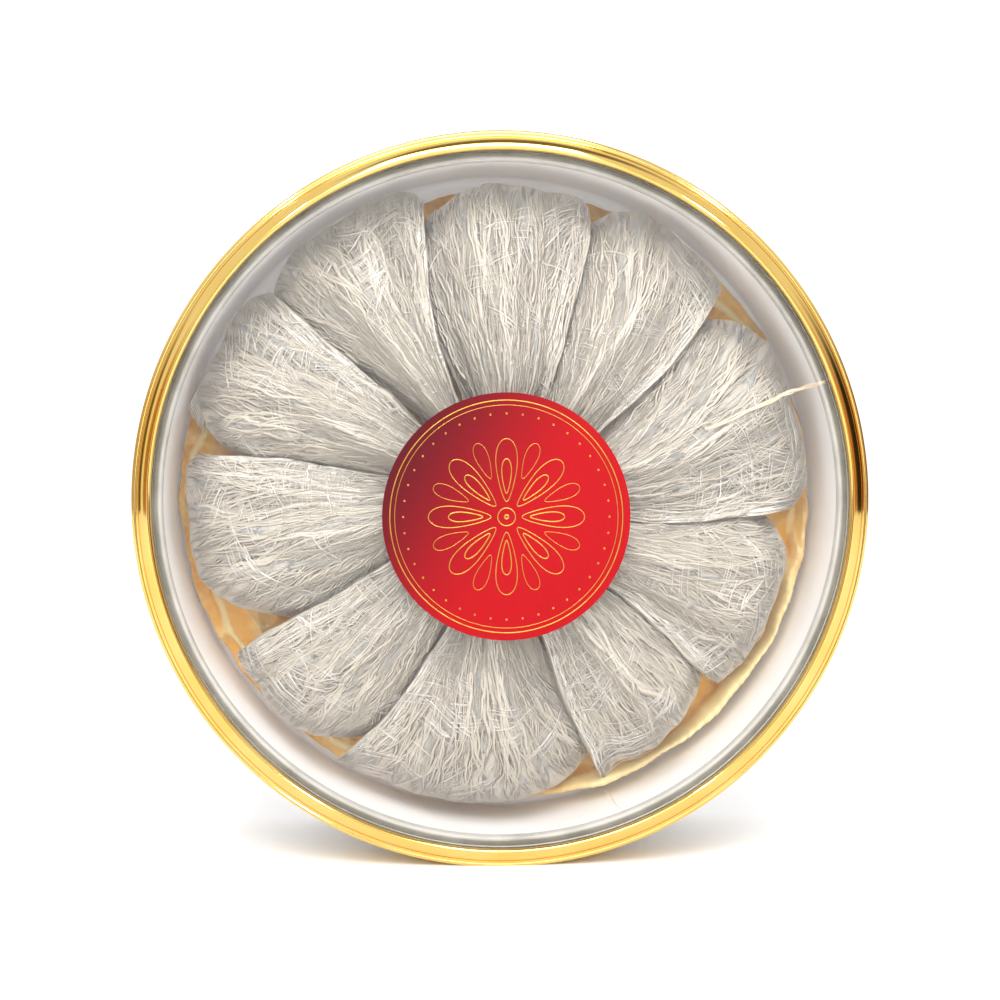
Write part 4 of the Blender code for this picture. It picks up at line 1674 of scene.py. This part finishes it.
@dataclass(frozen=True)
class StrayStrands:
    """Loose strands: a cream bundle over the wall, a hair under the lowest tip, and a small fan at the left.

    Attributes:
        bundle: The bundle's way, as rows of radius, angle in degrees and depth.
        hair: The hair's way, in the same form.
        fan_start: Where the fan's strands come together.
        fan_ends: The first and the last strand's end.
        fan_count: How many strands the fan has.
        bundle_count: How many strands the bundle has.
        travel: The length on which a thread's wandering counts, in millimetres.
    """

    bundle: tuple = (
        (59.6, 70.6, 11.0), (70.0, 70.2, 12.1), (80.0, 69.8, 15.4), (86.0, 69.6, 18.2), (90.0, 69.5, 14.0),
        (92.0, 69.6, 8.0), (92.6, 69.6, 5.25), (94.2, 69.6, 5.25),
    )
    hair: tuple = ((91.0, 160.2, 36.0), (93.3, 159.6, 30.0), (94.2, 159.0, 22.0), (93.0, 158.6, 9.0))
    fan_start: tuple = (91.6, 295.5, 41.0)
    fan_ends: tuple = ((93.4, 285.6, 40.0), (88.0, 282.2, 42.0))
    fan_count: int = 12
    bundle_count: int = 7
    travel: float = 40.0
    steps: int = 48
    seed: int = 5

    def smooth(self, stations: tuple) -> np.ndarray:
        """Evenly spaced places on a way through the stations, rounded by a short running mean."""
        rows = np.array(stations)
        at = np.linspace(0.0, len(rows) - 1.0, self.steps)
        way = np.stack([np.interp(at, np.arange(len(rows)), rows[:, column]) for column in range(3)], axis=1)
        for _ in range(6):
            way[1:-1] = (way[:-2] + 2.0 * way[1:-1] + way[2:]) / 4.0
        return way

    def threads(self, way: np.ndarray, count: int, spread: float, half_width: float) -> Surface:
        """Tubes that wander about a way within the spread, thinner at both ends.

        Args:
            way: Places by step, or by thread and by step.
            count: How many threads there are.
            spread: How far they wander, in millimetres.
            half_width: Half of a thread's width.

        Returns:
            The threads as one surface.
        """
        draw = np.random.default_rng(self.seed + count)
        way = np.broadcast_to(way, (count, self.steps, 3))
        travel = np.linspace(0.0, self.travel, self.steps)[None] + np.zeros((count, 1))
        aside = Waves((24.0, 9.0), (0.7, 0.3)).along(travel, draw) * spread
        deeper = Waves((19.0, 8.0), (0.4, 0.2)).along(travel, draw) * spread
        lines = BOX.place(way[..., 0], np.radians(way[..., 1]) + aside / way[..., 0], way[..., 2] + deeper)
        inward = np.minimum(travel, self.travel - travel) / self.travel
        size = np.minimum(1.0, 0.3 + 5.0 * inward) * half_width
        return tubes(lines, size, 0.6 * size).plain()

    def build(self) -> None:
        """Builds the bundle as one piece, and the hair and the fan as another."""
        cream = DriedStrand(bright="#FBE9CC", dull="#EBD2A8").material()
        bundle = self.threads(self.smooth(self.bundle), self.bundle_count, spread=0.5, half_width=0.26)
        bundle.piece("stray_bundle", [cream], "", "nest_strands")
        share = np.linspace(0.0, 1.0, self.fan_count)[:, None, None]
        ends = np.array(self.fan_ends[0]) * (1.0 - share) + np.array(self.fan_ends[1]) * share
        step = np.linspace(0.0, 1.0, self.steps)[None, :, None]
        way = np.array(self.fan_start) * (1.0 - step) + ends * step
        fan = self.threads(way, self.fan_count, spread=0.25, half_width=0.34)
        hair = self.threads(self.smooth(self.hair), 1, spread=0.3, half_width=0.09)
        whole, _ = joined(fan, hair)
        whole.piece("stray_hairs", [GlassyHair().material()], "", "nest_strands")


@dataclass(frozen=True)
class Studio:
    """A white tent that is dimmer at the camera's opening, soft lamps, and cards that only the gloss shows.

    Attributes:
        floor_half: Half of the floor's side, in metres.
        white: The floor's colour.
        opening: How bright the tent is at the camera's opening.
        tent: How bright it is elsewhere.
        lamps: Each lamp's name, place and size in metres, power in watts, and whether it lights more than gloss.
        cards: Each card's name, place in metres, width and height in metres, and colour.
        card_fade: How far into a card, as a share of its half, it fades in.
    """

    floor_half: float = 4.0
    white: str = "#FCFCFC"
    opening: float = 1.05
    tent: float = 1.14
    lamps: tuple = (
        ("key", (-0.06, -0.95, 1.2), 0.8, 15.0, True),
        ("front", (-0.05, -1.2, 0.6), 0.5, 3.0, True),
        ("glint_right", (0.4, -1.2, 0.55), 0.06, 5.0, False),
        ("glint_left", (-0.5, -1.2, 0.8), 0.06, 5.0, False),
    )
    cards: tuple = (
        ("card_behind_camera", (0.0, -1.5, 0.0), 1.1, 0.9, "#3A2410"),
        ("card_right", (1.1, -0.9, 0.15), 1.7, 1.3, "#B87430"),
        ("card_far_right", (1.3, 0.05, 0.15), 2.4, 1.9, "#1E1408"),
        ("card_left", (-1.1, -0.8, 0.15), 1.6, 1.2, "#A8763C"),
        ("card_far_left", (-1.35, 0.35, 0.15), 1.5, 1.8, "#5A5232"),
        ("card_above", (0.1, -0.3, 1.4), 1.6, 1.2, "#70685E"),
    )
    card_fade: float = 0.6

    def sheet(self, name: str, corners: list, finish: bpy.types.Material) -> bpy.types.Object:
        """Makes one four-cornered sheet of the studio, which isn't a part of the box."""
        mesh = bpy.data.meshes.new(name)
        mesh.from_pydata(corners, [], [(0, 1, 2, 3)])
        mesh.materials.append(finish)
        made = placed(name, mesh)
        return made

    def floor(self) -> None:
        """Lays the plain pale floor."""
        half = self.floor_half
        paper = FinishTree("studio_paper").finished({"Base Color": linear(self.white), "Roughness": 0.9})
        self.sheet("floor", [(-half, -half, 0), (half, -half, 0), (half, half, 0), (-half, half, 0)], paper)

    def card(self, name: str, place: tuple, width: float, height: float, colour: str) -> None:
        """Stands up one dark card that faces the box, fades out to its edges and shows only in gloss.

        Args:
            name: The card's name.
            place: Its middle, in metres.
            width: Its width, in metres.
            height: Its height, in metres.
            colour: Its colour as a hex code.
        """
        tree = FinishTree(name)
        sheet = add_node(tree.tree, "TexCoord").outputs["Generated"]
        centred = tree.turned({"Location": (-1.0, -1.0, -1.0), "Scale": (2.0, 2.0, 2.0)}, sheet)
        inward = add_node(tree.tree, "TexGradient", {"gradient_type": "SPHERICAL"}, {"Vector": centred})
        fade = tree.spread(inward.outputs["Fac"], {"interpolation_type": "SMOOTHSTEP", "From Max": self.card_fade})
        ink = tree.finished({"Alpha": fade, "Base Color": linear(colour), "Roughness": 1.0})
        middle = np.array(place)
        way = middle - np.array([0.0, 0.0, BOX.axis_height * MM])
        level = np.cross(way, [0.0, 0.0, 1.0])
        level = level / np.linalg.norm(level) * width / 2
        upright = np.cross(level, way)
        upright = upright / np.linalg.norm(upright) * height / 2
        ways = ((-1, -1), (1, -1), (1, 1), (-1, 1))
        made = self.sheet(name, [tuple(middle + right * level + up * upright) for right, up in ways], ink)
        made.visible_camera = made.visible_diffuse = made.visible_transmission = made.visible_shadow = False

    def lamp(self, name: str, place: tuple, size: float, watts: float, lights_all: bool) -> None:
        """Hangs one square lamp that looks at the box. A lamp that doesn't light all shows only in gloss."""
        data = bpy.data.lights.new(name, "AREA")
        data.energy = watts
        data.size = size
        made = placed(name, data)
        made.location = place
        way = np.array([0.0, 0.0, BOX.axis_height * MM]) - np.array(place)
        pitch = math.acos(-way[2] / np.linalg.norm(way))
        made.rotation_euler = (pitch, 0.0, math.atan2(way[1], way[0]) - math.pi / 2)
        made.visible_diffuse = lights_all

    def sky(self) -> None:
        """Sets the white tent: its brightness rises smoothly away from the opening towards -Y."""
        world = bpy.data.worlds.new("studio")
        bpy.context.scene.world = world
        world.use_nodes = True
        tree = world.node_tree
        background = tree.nodes["Background"]
        way = add_node(tree, "TexCoord")
        split = add_node(tree, "SeparateXYZ", {}, {"Vector": way.outputs["Generated"]})
        fade = add_node(
            tree,
            "MapRange",
            {"interpolation_type": "SMOOTHSTEP", "From Min": -0.98, "From Max": -0.45, "To Min": self.opening,
             "To Max": self.tent},
            {"Value": split.outputs["Y"]},
        )
        background.inputs["Color"].default_value = (1.0, 1.0, 1.0, 1.0)
        tree.links.new(fade.outputs["Result"], background.inputs["Strength"])

    def build(self) -> None:
        """Builds the floor, the tent, the lamps and the cards."""
        self.floor()
        self.sky()
        for lamp in self.lamps:
            self.lamp(*lamp)
        for card in self.cards:
            self.card(*card)


@dataclass(frozen=True)
class PhotoCamera:
    """The camera at the photograph's viewing angle: just left of the axis and a little above it.

    Attributes:
        distance: From the middle of the rim's front, in millimetres.
        azimuth: Degrees to the left of -Y where negative.
        elevation: Degrees above the level.
        lens: Focal length in millimetres.
        shift: How far the frame is shifted, as shares of its width.
        target_depth: The depth of the place that the camera looks at.
    """

    distance: float = 460.0
    azimuth: float = -2.15
    elevation: float = 3.0
    lens: float = 61.2
    shift: tuple[float, float] = (-0.003, 0.003)
    target_depth: float = 2.0

    def build(self) -> None:
        """Places the camera and makes it the scene's."""
        data = bpy.data.cameras.new("camera")
        data.lens = self.lens
        data.shift_x, data.shift_y = self.shift
        data.clip_start = 0.01
        made = placed("camera", data)
        turn, rise = math.radians(self.azimuth), math.radians(self.elevation)
        back = np.array([math.sin(turn) * math.cos(rise), -math.cos(turn) * math.cos(rise), math.sin(rise)])
        target = np.array([0.0, BOX.front + self.target_depth, BOX.axis_height])
        made.location = (target + back * self.distance) * MM
        made.rotation_euler = (math.pi / 2 - rise, 0.0, turn)
        bpy.context.scene.camera = made


def main() -> None:
    """Builds the camera, the studio and every piece of the box."""
    bpy.context.scene.view_settings.view_transform = "Standard"
    PhotoCamera().build()
    Studio().build()
    LidRim().build()
    WindowPane().build()
    SealRing().build()
    Tray().build()
    Label().build()
    SatinPad().build()
    NestRing().build()
    StrayStrands().build()


if __name__ == "__main__":
    main()
